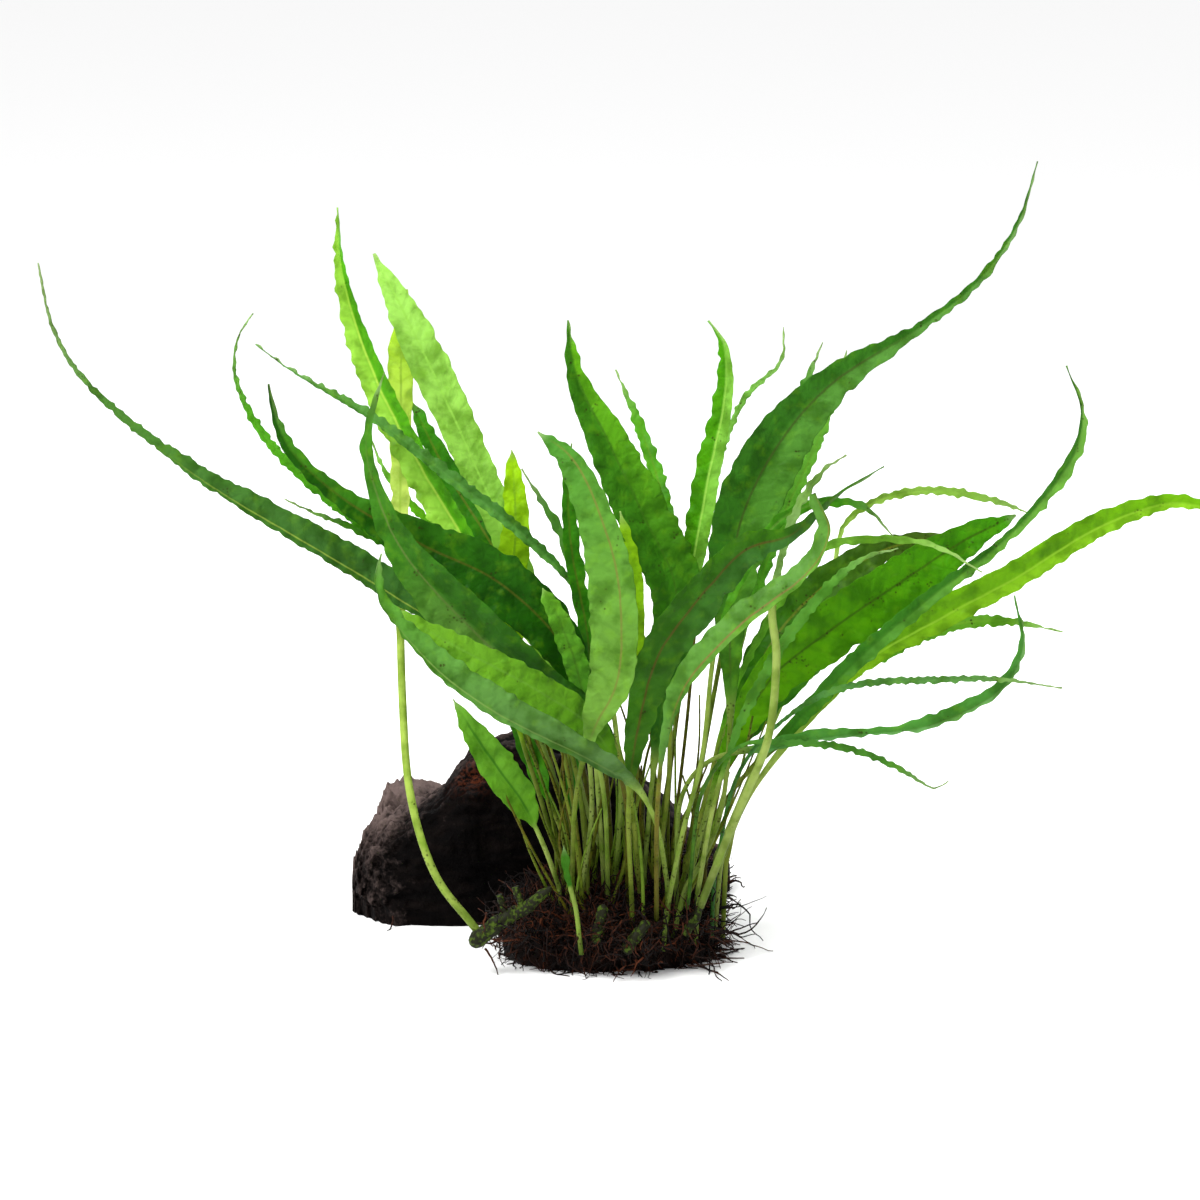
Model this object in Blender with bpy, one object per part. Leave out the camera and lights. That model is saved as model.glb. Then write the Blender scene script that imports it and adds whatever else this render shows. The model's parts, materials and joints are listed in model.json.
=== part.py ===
"""A java fern growing on a piece of driftwood.

Millimetres are used for every dimension and turned into metres as meshes are made.
The origin is on the flat underside of the wood. X runs across the plant's face, -Y points
out of its face, and Z is up. Each frond is one loft along a smooth curve: a round stalk that
widens into a thin blade. Where two fronds would touch, they slide past each other in depth.
The wood is three lofts split at its forks, and the stems creep over a low dome of roots.
"""

from dataclasses import dataclass

import bmesh
import bpy
import numpy as np
from mathutils import Vector, noise

MM = 0.001
SAMPLES = 48  # points along each frond's curve
RING_SPACING = 12.5  # length of frond between two rings of its loft
STALK_RADIUS = 1.05
BLADE_HALF_THICKNESS = 0.45
TIP_HALF_WIDTH = 0.4
CLEARANCE = 1.1  # air kept between two fronds that cross
FACE_SLOPE = 0.21  # rise that keeps a frond's place on the plant's face as it slides in depth
CROWDING_ROUNDS = 140
SLIDE_SPREAD = 3.0  # how many neighbouring samples a slide carries along
SLIDE_STEP = 0.25  # share of the missing gap that each frond gives in one round
BLADE_RISE = 0.75  # power by which a plain blade widens from its stalk
FLATTENING = 5.0  # the stalk turns flat over this fraction (1/5) of the blade
FACE_TILT = 0.12  # how far blade faces look up
BLADE_ROUGHNESS = 0.45
WOOD_ROUGHNESS = 0.9
MAT_ROUGHNESS = 0.95
STEM_ROUGHNESS = 0.7
WOOD_SIDES = 18
WOOD_SQUARENESS = 0.7  # power below 1 that fills out the corners of a cross-section
WOOD_LUMP = 0.05  # depth of the wood's hollows, as a share of its size
UNDERSIDE = 0.12  # share of a cross-section's height below which it is cut flat at the ground
WOOD_FRONT = -15.0  # no stalk goes further back than this in front of the wood
WOOD_TOP = 52.0
ROOTING_GAP = 1.0  # from the mat to the middle of the stalk's end, which leaves its rim just clear

MAT_CENTRE = (17.0, -36.5)
MAT_REACH = (30.0, 24.2)
MAT_HEIGHT = 16.0
MAT_SQUARENESS = 0.35

LEAF_DARK = (0.05, 0.20, 0.015)
LEAF_MID = (0.12, 0.34, 0.03)
LEAF_BRIGHT = (0.25, 0.52, 0.03)
LEAF_GREY = (0.10, 0.27, 0.05)
STALK_PALE = (0.35, 0.50, 0.12)
STALK_BROWN = (0.18, 0.13, 0.02)
WOOD_DARK = (0.03, 0.02, 0.018)
WOOD_WORN = (0.12, 0.09, 0.08)
WOOD_RED = (0.04, 0.025, 0.02)
ROOT_BROWN = (0.03, 0.012, 0.006)
STEM_OLIVE = (0.10, 0.13, 0.02)


@dataclass
class Frond:
    """A frond: its name, colour, route of points, widest blade width and blade shape."""

    name: str
    colour: tuple
    width: float
    start: float  # share of the length where the blade begins
    tail: float  # a larger value draws the tip out longer
    turn: float  # degrees that the blade's face is turned about the vertical
    route: list
    widths: tuple = ()  # blade width at each point of the route, where the plain shape won't do


FRONDS = [
    Frond("frond_far_left", LEAF_GREY, 7.0, 0.30, 1.1, 12,
          [(8, -30, 24), (3, -34, 46), (-10, -38, 75), (-34, -42, 94), (-57, -46, 109), (-78, -50, 122),
           (-97, -53, 136), (-111, -56, 150), (-118, -58, 163), (-121, -60, 179)],
          (0, 0, 3.5, 7, 7, 5, 2.4, 1.5, 1.2, 0.8)),
    Frond("frond_left_stalk", LEAF_BRIGHT, 7.0, 0.60, 0.6, -15,
          [(-16, -58, 12), (-26, -55, 25), (-32, -51, 44), (-34, -46, 67), (-35, -32, 98), (-35, -22, 115),
           (-35, -14, 131), (-35, -6, 148), (-34, 0, 163)],
          (0, 0, 0, 0, 3.8, 4.8, 5.5, 7, 1.5)),
    Frond("frond_left_broad", LEAF_BRIGHT, 9.5, 0.35, 0.7, 20,
          [(17, -32, 20), (11, -34, 39), (5, -35, 67), (-6, -30, 99), (-20, -20, 130), (-32, -10, 154),
           (-42, 0, 172)],
          (0, 0, 3, 7, 9.5, 9.5, 1.2)),
    Frond("frond_left_tall", LEAF_BRIGHT, 8.0, 0.30, 1.0, -25,
          [(8, -38, 17), (8, -41, 43), (3, -44, 72), (-10, -42, 94), (-22, -38, 112), (-35, -33, 134),
           (-44, -28, 154), (-49, -25, 172), (-50, -22, 187)],
          (0, 0, 0, 4, 8, 8, 6.5, 3.2, 0.8)),
    Frond("frond_left_hidden", LEAF_MID, 8.0, 0.40, 0.8, 15,
          [(14, -27, 21), (9, -26, 55), (1, -22, 76), (-12, -12, 99), (-24, 0, 116), (-34, 12, 134)]),
    Frond("frond_left_crinkled", LEAF_GREY, 3.4, 0.40, 0.9, 10,
          [(19, -39, 18), (20, -45, 48), (16, -49, 78), (9, -49, 96), (-5, -46, 110), (-21, -43, 122),
           (-41, -40, 137), (-60, -38, 148), (-70, -36, 155)]),
    Frond("frond_left_hook", LEAF_MID, 3.2, 0.45, 0.8, -10,
          [(12, -38, 20), (9, -46, 49), (0, -52, 76), (-25, -56, 100), (-49, -58, 119), (-65, -60, 134),
           (-73, -61, 149), (-73, -62, 160), (-69, -62, 167)],
          (0, 0, 0, 2.4, 3.2, 2.4, 1.4, 0.9, 0.7)),
    Frond("frond_left_upper_dark", LEAF_DARK, 14.0, 0.30, 1.5, 15,
          [(10, -46, 15), (13, -53, 43), (10, -60, 70), (5, -63, 86), (-10, -64, 101), (-28, -64, 110),
           (-46, -66, 121), (-58, -68, 132), (-63, -69, 141), (-65, -70, 151)],
          (0, 0, 2.5, 11, 14, 12, 5.5, 3.5, 2.4, 0.8)),
    Frond("frond_left_lower_dark", LEAF_DARK, 14.5, 0.30, 1.3, -12,
          [(25, -43, 19), (22, -57, 47), (15, -68, 66), (0, -73, 78), (-18, -77, 96), (-32, -77, 112),
           (-39, -75, 127), (-41, -72, 139), (-37, -70, 154)],
          (0, 0, 3, 11, 14.5, 10, 5, 3.2, 0.8)),
    Frond("frond_left_bright", LEAF_BRIGHT, 8.5, 0.35, 0.9, 20,
          [(22, -46, 18), (21, -64, 48), (14, -76, 66), (0, -83, 78), (-19, -85, 89), (-38, -84, 100)]),
    Frond("frond_front_low", LEAF_GREY, 7.0, 0.38, 1.0, -10,
          [(32, -48, 19), (29, -66, 40), (23, -82, 55), (12, -91, 65), (-8, -96, 77), (-23, -97, 88),
           (-35, -98, 101), (-38, -98, 109), (-37, -98, 115)],
          (0, 0.5, 1.8, 5, 7, 6.2, 3.2, 2.6, 0.9)),
    Frond("frond_centre_pale", LEAF_GREY, 12.0, 0.40, 0.8, -15,
          [(8, -50, 17), (9, -68, 47), (13, -80, 68), (18, -81, 82), (18, -82, 103), (14, -80, 120),
           (8, -77, 133), (0, -74, 140)],
          (0, 0, 3, 10.5, 12, 9.5, 6.5, 1)),
    Frond("frond_centre_slim", LEAF_DARK, 4.8, 0.40, 0.7, 25,
          [(16, -40, 19), (14, -50, 52), (12, -54, 84), (8, -52, 106), (7, -48, 123), (8, -46, 132)]),
    Frond("frond_yellow_short", LEAF_BRIGHT, 8.0, 0.35, 0.6, 10,
          [(6, -34, 19), (0, -40, 41), (-6, -42, 63), (-8, -42, 86), (-6, -36, 108), (-7, -28, 127)]),
    Frond("frond_centre_thread", LEAF_MID, 2.6, 0.50, 0.8, 0,
          [(18, -28, 22), (16, -24, 49), (12, -14, 75), (6, -2, 98), (-5, 10, 115)]),
    Frond("frond_centre_tall", LEAF_DARK, 14.0, 0.38, 1.0, 20,
          [(26, -40, 20), (28, -44, 46), (31, -46, 74), (33, -45, 95), (25, -42, 113), (16, -39, 132),
           (9, -37, 147), (7, -36, 161)],
          (0, 0, 7, 13, 14, 10.5, 5.2, 0.8)),
    Frond("frond_centre_spike", LEAF_MID, 4.0, 0.45, 0.8, 10,
          [(29, -28, 22), (34, -24, 55), (36, -14, 83), (31, -2, 109), (26, 8, 124), (19, 14, 140)]),
    Frond("frond_yellow_strip", LEAF_BRIGHT, 5.0, 0.45, 0.6, -10,
          [(22, -29, 22), (24, -36, 55), (24, -42, 79), (23, -44, 100), (20, -46, 115)]),
    Frond("frond_right_upright", LEAF_BRIGHT, 7.0, 0.40, 0.8, -25,
          [(29, -42, 18), (32, -40, 43), (33, -37, 65), (37, -34, 92), (42, -30, 120), (46, -27, 139),
           (46, -25, 152), (42, -24, 159)]),
    Frond("frond_right_tendril", LEAF_MID, 1.6, 0.50, 0.5, 0,
          [(33, -29, 23), (37, -20, 56), (40, -4, 86), (43, 6, 109), (51, 14, 131), (61, 18, 141),
           (62, 20, 150)]),
    Frond("frond_right_long", LEAF_DARK, 15.5, 0.32, 1.8, 12,
          [(34, -52, 16), (44, -55, 37), (47, -58, 62), (47, -56, 89), (49, -53, 112), (58, -49, 131),
           (72, -46, 147), (93, -43, 160), (107, -42, 171), (117, -41, 185), (122, -40, 201)],
          (0, 0, 0, 6, 14, 15.5, 10, 3, 2.2, 1.6, 0.7)),
    Frond("frond_right_spike", LEAF_MID, 4.2, 0.45, 0.8, -15,
          [(37, -29, 22), (42, -25, 54), (50, -21, 95), (59, -15, 120), (66, -11, 139), (71, -9, 151)]),
    Frond("frond_right_nub", LEAF_MID, 3.6, 0.45, 0.8, 15,
          [(40, -33, 21), (45, -22, 46), (51, -10, 74), (61, 0, 103), (71, 8, 124), (78, 14, 145)]),
    Frond("frond_front_dark", LEAF_DARK, 12.0, 0.30, 1.5, 10,
          [(23, -54, 15), (22, -70, 46), (24, -79, 67), (29, -81, 86), (38, -79, 99), (50, -75, 111),
           (61, -71, 114), (72, -68, 123), (84, -66, 130)],
          (0, 0, 5.5, 11, 12, 9, 4.5, 1.7, 0.9)),
    Frond("frond_front_fold", LEAF_GREY, 6.4, 0.35, 0.9, -20,
          [(29, -55, 16), (29, -78, 48), (31, -92, 70), (36, -96, 85), (49, -96, 99), (64, -94, 110),
           (69, -92, 119), (66, -90, 128)],
          (0, 0, 2.6, 5.6, 6.4, 5.4, 5.4, 3)),
    Frond("frond_right_arch", STALK_PALE, 3.0, 0.55, 0.8, 0,
          [(31, -60, 13), (35, -66, 37), (40, -71, 59), (43, -71, 86), (49, -67, 102), (57, -62, 114),
           (67, -58, 119), (79, -54, 118), (87, -52, 110)]),
    Frond("frond_right_stalk", STALK_PALE, 2.2, 0.70, 0.8, 0,
          [(41, -47, 18), (49, -60, 42), (56, -70, 63), (58, -70, 83), (57, -69, 97), (62, -65, 117),
           (69, -63, 128), (75, -62, 132)]),
    Frond("frond_pale_arch", STALK_PALE, 2.2, 0.60, 0.5, 0,
          [(43, -36, 21), (54, -24, 45), (65, -12, 68), (74, -4, 91), (77, 0, 102), (86, 4, 108),
           (100, 7, 110), (115, 10, 107), (125, 12, 103)]),
    Frond("frond_green_arch", LEAF_MID, 2.2, 0.30, 0.6, 0,
          [(35, -47, 18), (42, -48, 46), (48, -49, 70), (59, -51, 93), (68, -52, 106), (82, -51, 109),
           (97, -49, 107), (109, -48, 100)]),
    Frond("frond_back_broad", LEAF_MID, 9.5, 0.30, 0.8, -20,
          [(41, -38, 20), (47, -29, 50), (57, -21, 74), (70, -14, 88), (86, -8, 97), (103, -3, 101)]),
    Frond("frond_mid_broad", LEAF_MID, 14.0, 0.30, 0.8, 15,
          [(37, -41, 18), (45, -40, 48), (57, -38, 70), (72, -34, 82), (90, -31, 94), (106, -28, 104),
           (119, -26, 110)],
          (0, 2, 10, 14, 13.5, 9, 1)),
    Frond("frond_dark_twist", LEAF_DARK, 5.0, 0.25, 0.8, -15,
          [(39, -38, 21), (47, -44, 42), (61, -52, 60), (77, -54, 78), (94, -53, 93), (111, -52, 106),
           (122, -51, 117), (131, -50, 130), (133, -50, 141), (129, -50, 152)],
          (0, 0, 2, 4.5, 4.2, 3, 2.6, 4, 2, 0.7)),
    Frond("frond_right_bright", LEAF_BRIGHT, 9.5, 0.36, 1.0, 15,
          [(44, -42, 20), (51, -41, 39), (62, -43, 56), (81, -44, 77), (100, -44, 89), (117, -43, 98),
           (137, -41, 110), (154, -40, 116), (165, -40, 115), (172, -40, 111)],
          (0, 0, 1.5, 3.4, 7.8, 7.2, 6.6, 4.4, 2.6, 0.8)),
    Frond("frond_right_shy", LEAF_BRIGHT, 3.8, 0.45, 0.9, 10,
          [(46, -38, 20), (52, -31, 42), (66, -26, 60), (85, -22, 73), (102, -19, 80), (117, -17, 81),
           (132, -16, 78)]),
    Frond("frond_right_thread", LEAF_GREY, 1.8, 0.40, 0.7, 0,
          [(43, -45, 18), (49, -51, 49), (62, -60, 67), (77, -64, 75), (99, -66, 77), (113, -66, 77),
           (128, -67, 75)]),
    Frond("frond_low_curl", LEAF_MID, 4.4, 0.35, 0.8, -20,
          [(34, -45, 19), (35, -49, 42), (42, -52, 53), (55, -54, 57), (70, -57, 61), (87, -60, 63),
           (100, -62, 67), (113, -64, 75), (118, -66, 86), (116, -66, 98)],
          (0, 0, 0, 1.6, 3.4, 1.9, 3.6, 3.1, 2.1, 0.8)),
    Frond("frond_low_thread", LEAF_DARK, 1.8, 0.40, 0.7, 0,
          [(37, -50, 18), (40, -58, 46), (49, -66, 60), (62, -70, 62), (76, -72, 61), (87, -74, 57),
           (96, -75, 52), (100, -76, 54)]),
    Frond("frond_small_bright", LEAF_MID, 9.0, 0.35, 0.9, 20,
          [(5, -44, 18), (1, -50, 31), (-4, -55, 43), (-10, -60, 53), (-16, -64, 63), (-21, -66, 72)]),
    Frond("frond_small_inner", LEAF_MID, 6.5, 0.35, 0.6, -10,
          [(7, -30, 21), (5, -29, 30), (1, -28, 40), (-3, -27, 52), (-6, -26, 62), (-9, -24, 75)]),
    Frond("frond_centre_low", LEAF_MID, 4.5, 0.15, 0.5, 10,
          [(10, -34, 17), (8, -37, 39), (8, -39, 55), (11, -43, 71), (15, -46, 87)]),
    Frond("frond_new_shoot", LEAF_MID, 2.0, 0.60, 0.5, 0,
          [(10, -63, 10), (9, -62, 18), (7, -62, 26), (6, -62, 34)]),
    Frond("frond_old_stalk", STALK_BROWN, 2.0, 0.90, 0.5, 0,
          [(10, -26, 22), (4, -24, 40), (1, -21, 52), (-1, -19, 62)]),
    Frond("frond_right_narrow", LEAF_MID, 2.8, 0.35, 0.7, 10,
          [(39, -51, 17), (43, -57, 43), (48, -61, 61), (53, -62, 73), (61, -62, 87), (72, -60, 100),
           (80, -59, 106), (88, -58, 108)]),
    Frond("frond_right_small", LEAF_DARK, 3.4, 0.50, 0.8, 0,
          [(36, -34, 22), (47, -36, 48), (58, -34, 62), (72, -32, 74)]),
    Frond("frond_left_sliver", LEAF_BRIGHT, 2.4, 0.50, 0.8, 0,
          [(16, -24, 23), (9, -20, 50), (0, -15, 75), (-14, -10, 92), (-28, -6, 104), (-38, -2, 114),
           (-44, 2, 126)]),
    Frond("frond_left_small", LEAF_MID, 6.0, 0.45, 0.5, 15,
          [(17, -44, 18), (16, -56, 45), (12, -64, 67), (9, -66, 81), (5, -67, 92), (1, -67, 100)]),
    Frond("frond_left_low_sliver", LEAF_MID, 2.0, 0.50, 0.7, 0,
          [(11, -42, 18), (5, -44, 56), (-10, -50, 83), (-32, -56, 105), (-45, -58, 113), (-54, -60, 117),
           (-62, -61, 121)]),
]


@dataclass
class Station:
    """A cross-section of the wood: its place along X, front, back and top."""

    x: float
    front: float
    back: float
    top: float


TRUNK = [
    Station(-49, 0, 11, 11), Station(-46, -6, 18, 19), Station(-40, -12, 22, 24), Station(-32, -14, 23, 28),
    Station(-26, -14, 25, 32), Station(-19, -14, 27, 41), Station(-11, -12, 30, 44), Station(3, -12, 31, 45),
    Station(15, -12, 32, 42), Station(26, -11, 33, 33), Station(33, -9, 33, 26),
]
KNOB = [
    Station(-42, 27, 36, 24), Station(-39, 25, 39, 29), Station(-32, 25, 40, 31),
    Station(-26, 27, 38, 27),
]
RIGHT_END = [
    Station(34.6, 2, 34, 20), Station(39, 8, 36, 17), Station(44, 14, 36, 13),
    Station(48, 19, 32, 9),
]


@dataclass
class Rhizome:
    """A creeping stem: points with a radius at each, and the foot and end of its cut stalks."""

    name: str
    points: list
    radii: list
    stubs: tuple = ()


STUB_RADII = [1.1, 0.9]
RHIZOMES = [
    Rhizome("rhizome_left", [(-17, -60, 8), (-10, -60, 14), (-3, -60, 18), (3, -60, 23)],
            [2.3, 2.0, 1.8, 1.2],
            (((-8, -60, 15), (-10, -60, 21)), ((-4, -60, 17), (-6, -60, 23)))),
    Rhizome("rhizome_middle", [(14, -62, 9), (15, -62, 14), (16, -62, 19)], [1.5, 1.6, 1.3]),
    Rhizome("rhizome_front", [(21, -63, 7), (24, -63, 11), (27, -63, 15)], [1.6, 1.6, 1.4]),
    Rhizome("rhizome_right", [(36, -58, 10), (38, -57, 13), (40, -56, 17)], [1.3, 1.3, 1.1]),
]


def smooth_curve(route, count):
    """Points at equal distances along a Catmull-Rom curve through the route.

    A route of x, y, z and a width gives the width eased along the same curve.
    """
    points = np.array(route, float)
    points = np.vstack([2 * points[0] - points[1], points, 2 * points[-1] - points[-2]])
    t = np.linspace(0, 1, 24, endpoint=False)[:, None]
    runs = []
    for a, b, c, d in zip(points[:-3], points[1:-2], points[2:-1], points[3:]):
        runs.append(0.5 * (2 * b + (c - a) * t + (2 * a - 5 * b + 4 * c - d) * t**2
                           + (3 * b - a - 3 * c + d) * t**3))
    fine = np.vstack(runs + [points[-2][None]])
    along = np.r_[0, np.cumsum(np.linalg.norm(np.diff(fine[:, :3], axis=0), axis=1))]
    wanted = np.linspace(0, along[-1], count)
    return np.stack([np.interp(wanted, along, column) for column in fine.T], axis=1)


def unit(vectors):
    return vectors / np.linalg.norm(vectors, axis=1, keepdims=True)


def frond_frame(frond, line):
    """Directions across and out of the blade at each point of its line."""
    along = unit(np.gradient(line, axis=0))
    angle = np.radians(frond.turn)
    facing = np.array([np.sin(angle), -np.cos(angle), FACE_TILT])
    across = unit(np.cross(along, np.broadcast_to(facing, along.shape)))
    return across, unit(np.cross(across, along))


def frond_halves(frond, share):
    """Half the width and half the thickness at each share of the length.

    The blade widens as a power of the distance from its start and narrows as a power of the
    distance to its tip, scaled so that its widest place has the frond's width. A frond with
    its own widths takes those, eased along its route.
    """
    u = np.clip((share - frond.start) / (1 - frond.start), 0, 1)
    if frond.widths:
        route = np.column_stack([np.array(frond.route, float), frond.widths])
        eased = smooth_curve(route, SAMPLES)[:, 3] / 2
        half_blade = np.interp(share, np.linspace(0, 1, SAMPLES), eased)
    else:
        peak = BLADE_RISE / (BLADE_RISE + frond.tail)
        shape = (u / peak) ** BLADE_RISE * ((1 - u) / (1 - peak)) ** frond.tail
        half_blade = shape * frond.width / 2
    slimming = STALK_RADIUS + (TIP_HALF_WIDTH - STALK_RADIUS) * u
    half_width = np.maximum(slimming, half_blade)
    flat = np.clip(u * FLATTENING, 0, 1)
    half_thickness = STALK_RADIUS + (BLADE_HALF_THICKNESS - STALK_RADIUS) * flat
    return half_width, np.minimum(half_thickness, half_width)


def slide_apart(fronds):
    """Lines of all the fronds, with crossing ones slid past each other in depth.

    Two points crowd each other when they lie within their widths of one another on the
    plant's face and their depths differ by less than their thicknesses and the clearance.
    """
    lines = [smooth_curve(f.route, SAMPLES) for f in fronds]
    share = np.linspace(0, 1, SAMPLES)
    wide, deep = [], []
    for frond, line in zip(fronds, lines):
        half_width, half_thickness = frond_halves(frond, share)
        across, out = frond_frame(frond, line)
        wide.append(half_width)
        deep.append(half_width * abs(across[:, 1]) + half_thickness * abs(out[:, 1]))
    depth = np.array([line[:, 1] for line in lines])
    face = np.array([np.stack([line[:, 0], line[:, 2] + FACE_SLOPE * line[:, 1]], 1) for line in lines])
    index = np.arange(SAMPLES)
    spread = np.exp(-((index[:, None] - index[None]) / SLIDE_SPREAD) ** 2)
    pairs = []
    for i in range(len(fronds)):
        for j in range(i + 1, len(fronds)):
            apart = np.linalg.norm(face[i][:, None] - face[j][None], axis=2)
            near = apart < wide[i][:, None] + wide[j][None] + CLEARANCE
            if near.any():
                a, b = np.nonzero(near)
                ahead = 1.0 if (depth[i][a] - depth[j][b]).mean() >= 0 else -1.0
                pairs.append((i, j, a, b, deep[i][a] + deep[j][b] + CLEARANCE, ahead))
    for _ in range(CROWDING_ROUNDS):
        for i, j, a, b, need, ahead in pairs:
            short = need - ahead * (depth[i][a] - depth[j][b])
            push_i = np.zeros(SAMPLES)
            push_j = np.zeros(SAMPLES)
            np.maximum.at(push_i, a, short)
            np.maximum.at(push_j, b, short)
            depth[i] += ahead * SLIDE_STEP * (spread * push_i[None]).max(axis=1)
            depth[j] -= ahead * SLIDE_STEP * (spread * push_j[None]).max(axis=1)
        low = face[:, :, 1] - FACE_SLOPE * depth < WOOD_TOP
        depth = np.where(low, np.minimum(depth, WOOD_FRONT), depth)
    height = face[:, :, 1] - FACE_SLOPE * depth
    foot = mat_height(face[:, 0, 0], depth[:, 0])
    height[:, 0] = np.where(foot > 0, foot + ROOTING_GAP, height[:, 0])
    return [np.stack([face[k][:, 0], depth[k], height[k]], 1) for k in range(len(fronds))]


def mat_height(x, y):
    """Height of the root mat's top: a low dome with a squared shoulder."""
    reach = ((x - MAT_CENTRE[0]) / MAT_REACH[0]) ** 2 + ((y - MAT_CENTRE[1]) / MAT_REACH[1]) ** 2
    return MAT_HEIGHT * np.clip(1 - reach, 0, 1) ** MAT_SQUARENESS


def material(name, colour, roughness):
    """A Principled material of one colour."""
    made = bpy.data.materials.new(name)
    made.use_nodes = True
    shader = made.node_tree.nodes["Principled BSDF"]
    shader.inputs["Base Color"].default_value = (*colour, 1)
    shader.inputs["Roughness"].default_value = roughness
    shader.inputs["Metallic"].default_value = 0
    return made


def place_mesh(name, mesh_edit, collection, finish):
    """Turns an edited mesh into a named object with its normals pointing out."""
    bmesh.ops.recalc_face_normals(mesh_edit, faces=mesh_edit.faces)
    mesh = bpy.data.meshes.new(name)
    mesh_edit.to_mesh(mesh)
    mesh_edit.free()
    mesh.shade_smooth()
    mesh.materials.append(finish)
    made = bpy.data.objects.new(name, mesh)
    collection.objects.link(made)
    return made


def loft(rings):
    """A closed skin through rings of equal point count, with a flat cap on each end."""
    edit = bmesh.new()
    rows = [[edit.verts.new(Vector(point) * MM) for point in ring] for ring in rings]
    sides = len(rows[0])
    for lower, upper in zip(rows, rows[1:]):
        for k in range(sides):
            edit.faces.new((lower[k], lower[(k + 1) % sides], upper[(k + 1) % sides], upper[k]))
    edit.faces.new(rows[0][::-1])
    edit.faces.new(rows[-1])
    return edit


def build_frond(frond, line, collection):
    """A six-sided loft along the frond's line, round on the stalk and flat on the blade."""
    length = np.linalg.norm(np.diff(line, axis=0), axis=1).sum()
    count = int(np.clip(length / RING_SPACING, 6, 15))
    picks = np.unique(np.round(np.linspace(0, SAMPLES - 1, count)).astype(int))
    half_width, half_thickness = frond_halves(frond, np.linspace(0, 1, SAMPLES))
    across, out = frond_frame(frond, line)
    corners = [(1, 0), (0.5, 1), (-0.5, 1), (-1, 0), (-0.5, -1), (0.5, -1)]
    rings = []
    for k in picks:
        rings.append([line[k] + across[k] * a * half_width[k] + out[k] * b * half_thickness[k]
                      for a, b in corners])
    finish = material(frond.name, frond.colour, BLADE_ROUGHNESS)
    return place_mesh(frond.name, loft(rings), collection, finish)


def build_wood(name, stations, collection, colour):
    """A lumpy loft along X whose underside is cut flat at the ground."""
    rings = []
    for s in stations:
        middle = (s.front + s.back) / 2
        reach = (s.back - s.front) / 2
        ring = []
        for k in range(WOOD_SIDES):
            angle = 2 * np.pi * k / WOOD_SIDES
            side = np.sign(np.cos(angle)) * abs(np.cos(angle)) ** WOOD_SQUARENESS
            rise = 0.5 + 0.5 * np.sign(np.sin(angle)) * abs(np.sin(angle)) ** WOOD_SQUARENESS
            lump = WOOD_LUMP * noise.noise(Vector((s.x * 0.09, side * 1.7, rise * 2.3)))
            y = middle + reach * side * (1 + min(lump, 0))
            z = s.top * (rise + lump * rise) if rise > UNDERSIDE else 0.0
            ring.append((s.x, y, z))
        rings.append(ring)
    return place_mesh(name, loft(rings), collection, material(name, colour, WOOD_ROUGHNESS))


def build_root_mat(collection):
    """A sphere pressed into the mat's dome, flat underneath."""
    edit = bmesh.new()
    bmesh.ops.create_uvsphere(edit, u_segments=26, v_segments=14, radius=1.0)
    for vert in edit.verts:
        x = MAT_CENTRE[0] + MAT_REACH[0] * vert.co.x
        y = MAT_CENTRE[1] + MAT_REACH[1] * vert.co.y
        z = MAT_HEIGHT * max(vert.co.z, 0.0) ** (2 * MAT_SQUARENESS)
        vert.co = Vector((x, y, z)) * MM
    return place_mesh("root_mat", edit, collection, material("root_mat", ROOT_BROWN, MAT_ROUGHNESS))


def tube_curve(name, points, radii, collection):
    """A round tube through hand-set points, with its end caps filled."""
    curve = bpy.data.curves.new(name, "CURVE")
    curve.dimensions = "3D"
    curve.bevel_depth = MM
    curve.bevel_resolution = 2
    curve.use_fill_caps = True
    spline = curve.splines.new("POLY")
    spline.points.add(len(points) - 1)
    for point, place, radius in zip(spline.points, points, radii):
        point.co = (*(Vector(place) * MM), 1)
        point.radius = radius
    made = bpy.data.objects.new(name, curve)
    collection.objects.link(made)
    return made


def curve_to_mesh(made, collection, finish):
    """Swaps a curve object for a mesh object of the same shape with welded caps."""
    name = made.name
    evaluated = made.evaluated_get(bpy.context.evaluated_depsgraph_get())
    mesh = bpy.data.meshes.new_from_object(evaluated)
    edit = bmesh.new()
    edit.from_mesh(mesh)
    bmesh.ops.remove_doubles(edit, verts=edit.verts, dist=0.00002)
    bpy.data.objects.remove(made)
    bpy.data.meshes.remove(mesh)
    return place_mesh(name, edit, collection, finish)


def build_rhizome(rhizome, collection, cutters):
    """A creeping stem with the cut stalks of old fronds joined to it."""
    finish = material(rhizome.name, STEM_OLIVE, STEM_ROUGHNESS)
    stem = tube_curve(rhizome.name, rhizome.points, rhizome.radii, collection)
    stem = curve_to_mesh(stem, collection, finish)
    for number, (foot, end) in enumerate(rhizome.stubs):
        stub = tube_curve(f"{rhizome.name}_stub_{number}", [foot, end], STUB_RADII, cutters)
        stub = curve_to_mesh(stub, cutters, finish)
        stub.hide_render = True
        stub.display_type = "WIRE"
        join = stem.modifiers.new(f"stub_{number}", "BOOLEAN")
        join.operation = "UNION"
        join.solver = "EXACT"
        join.object = stub
    return stem


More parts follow.
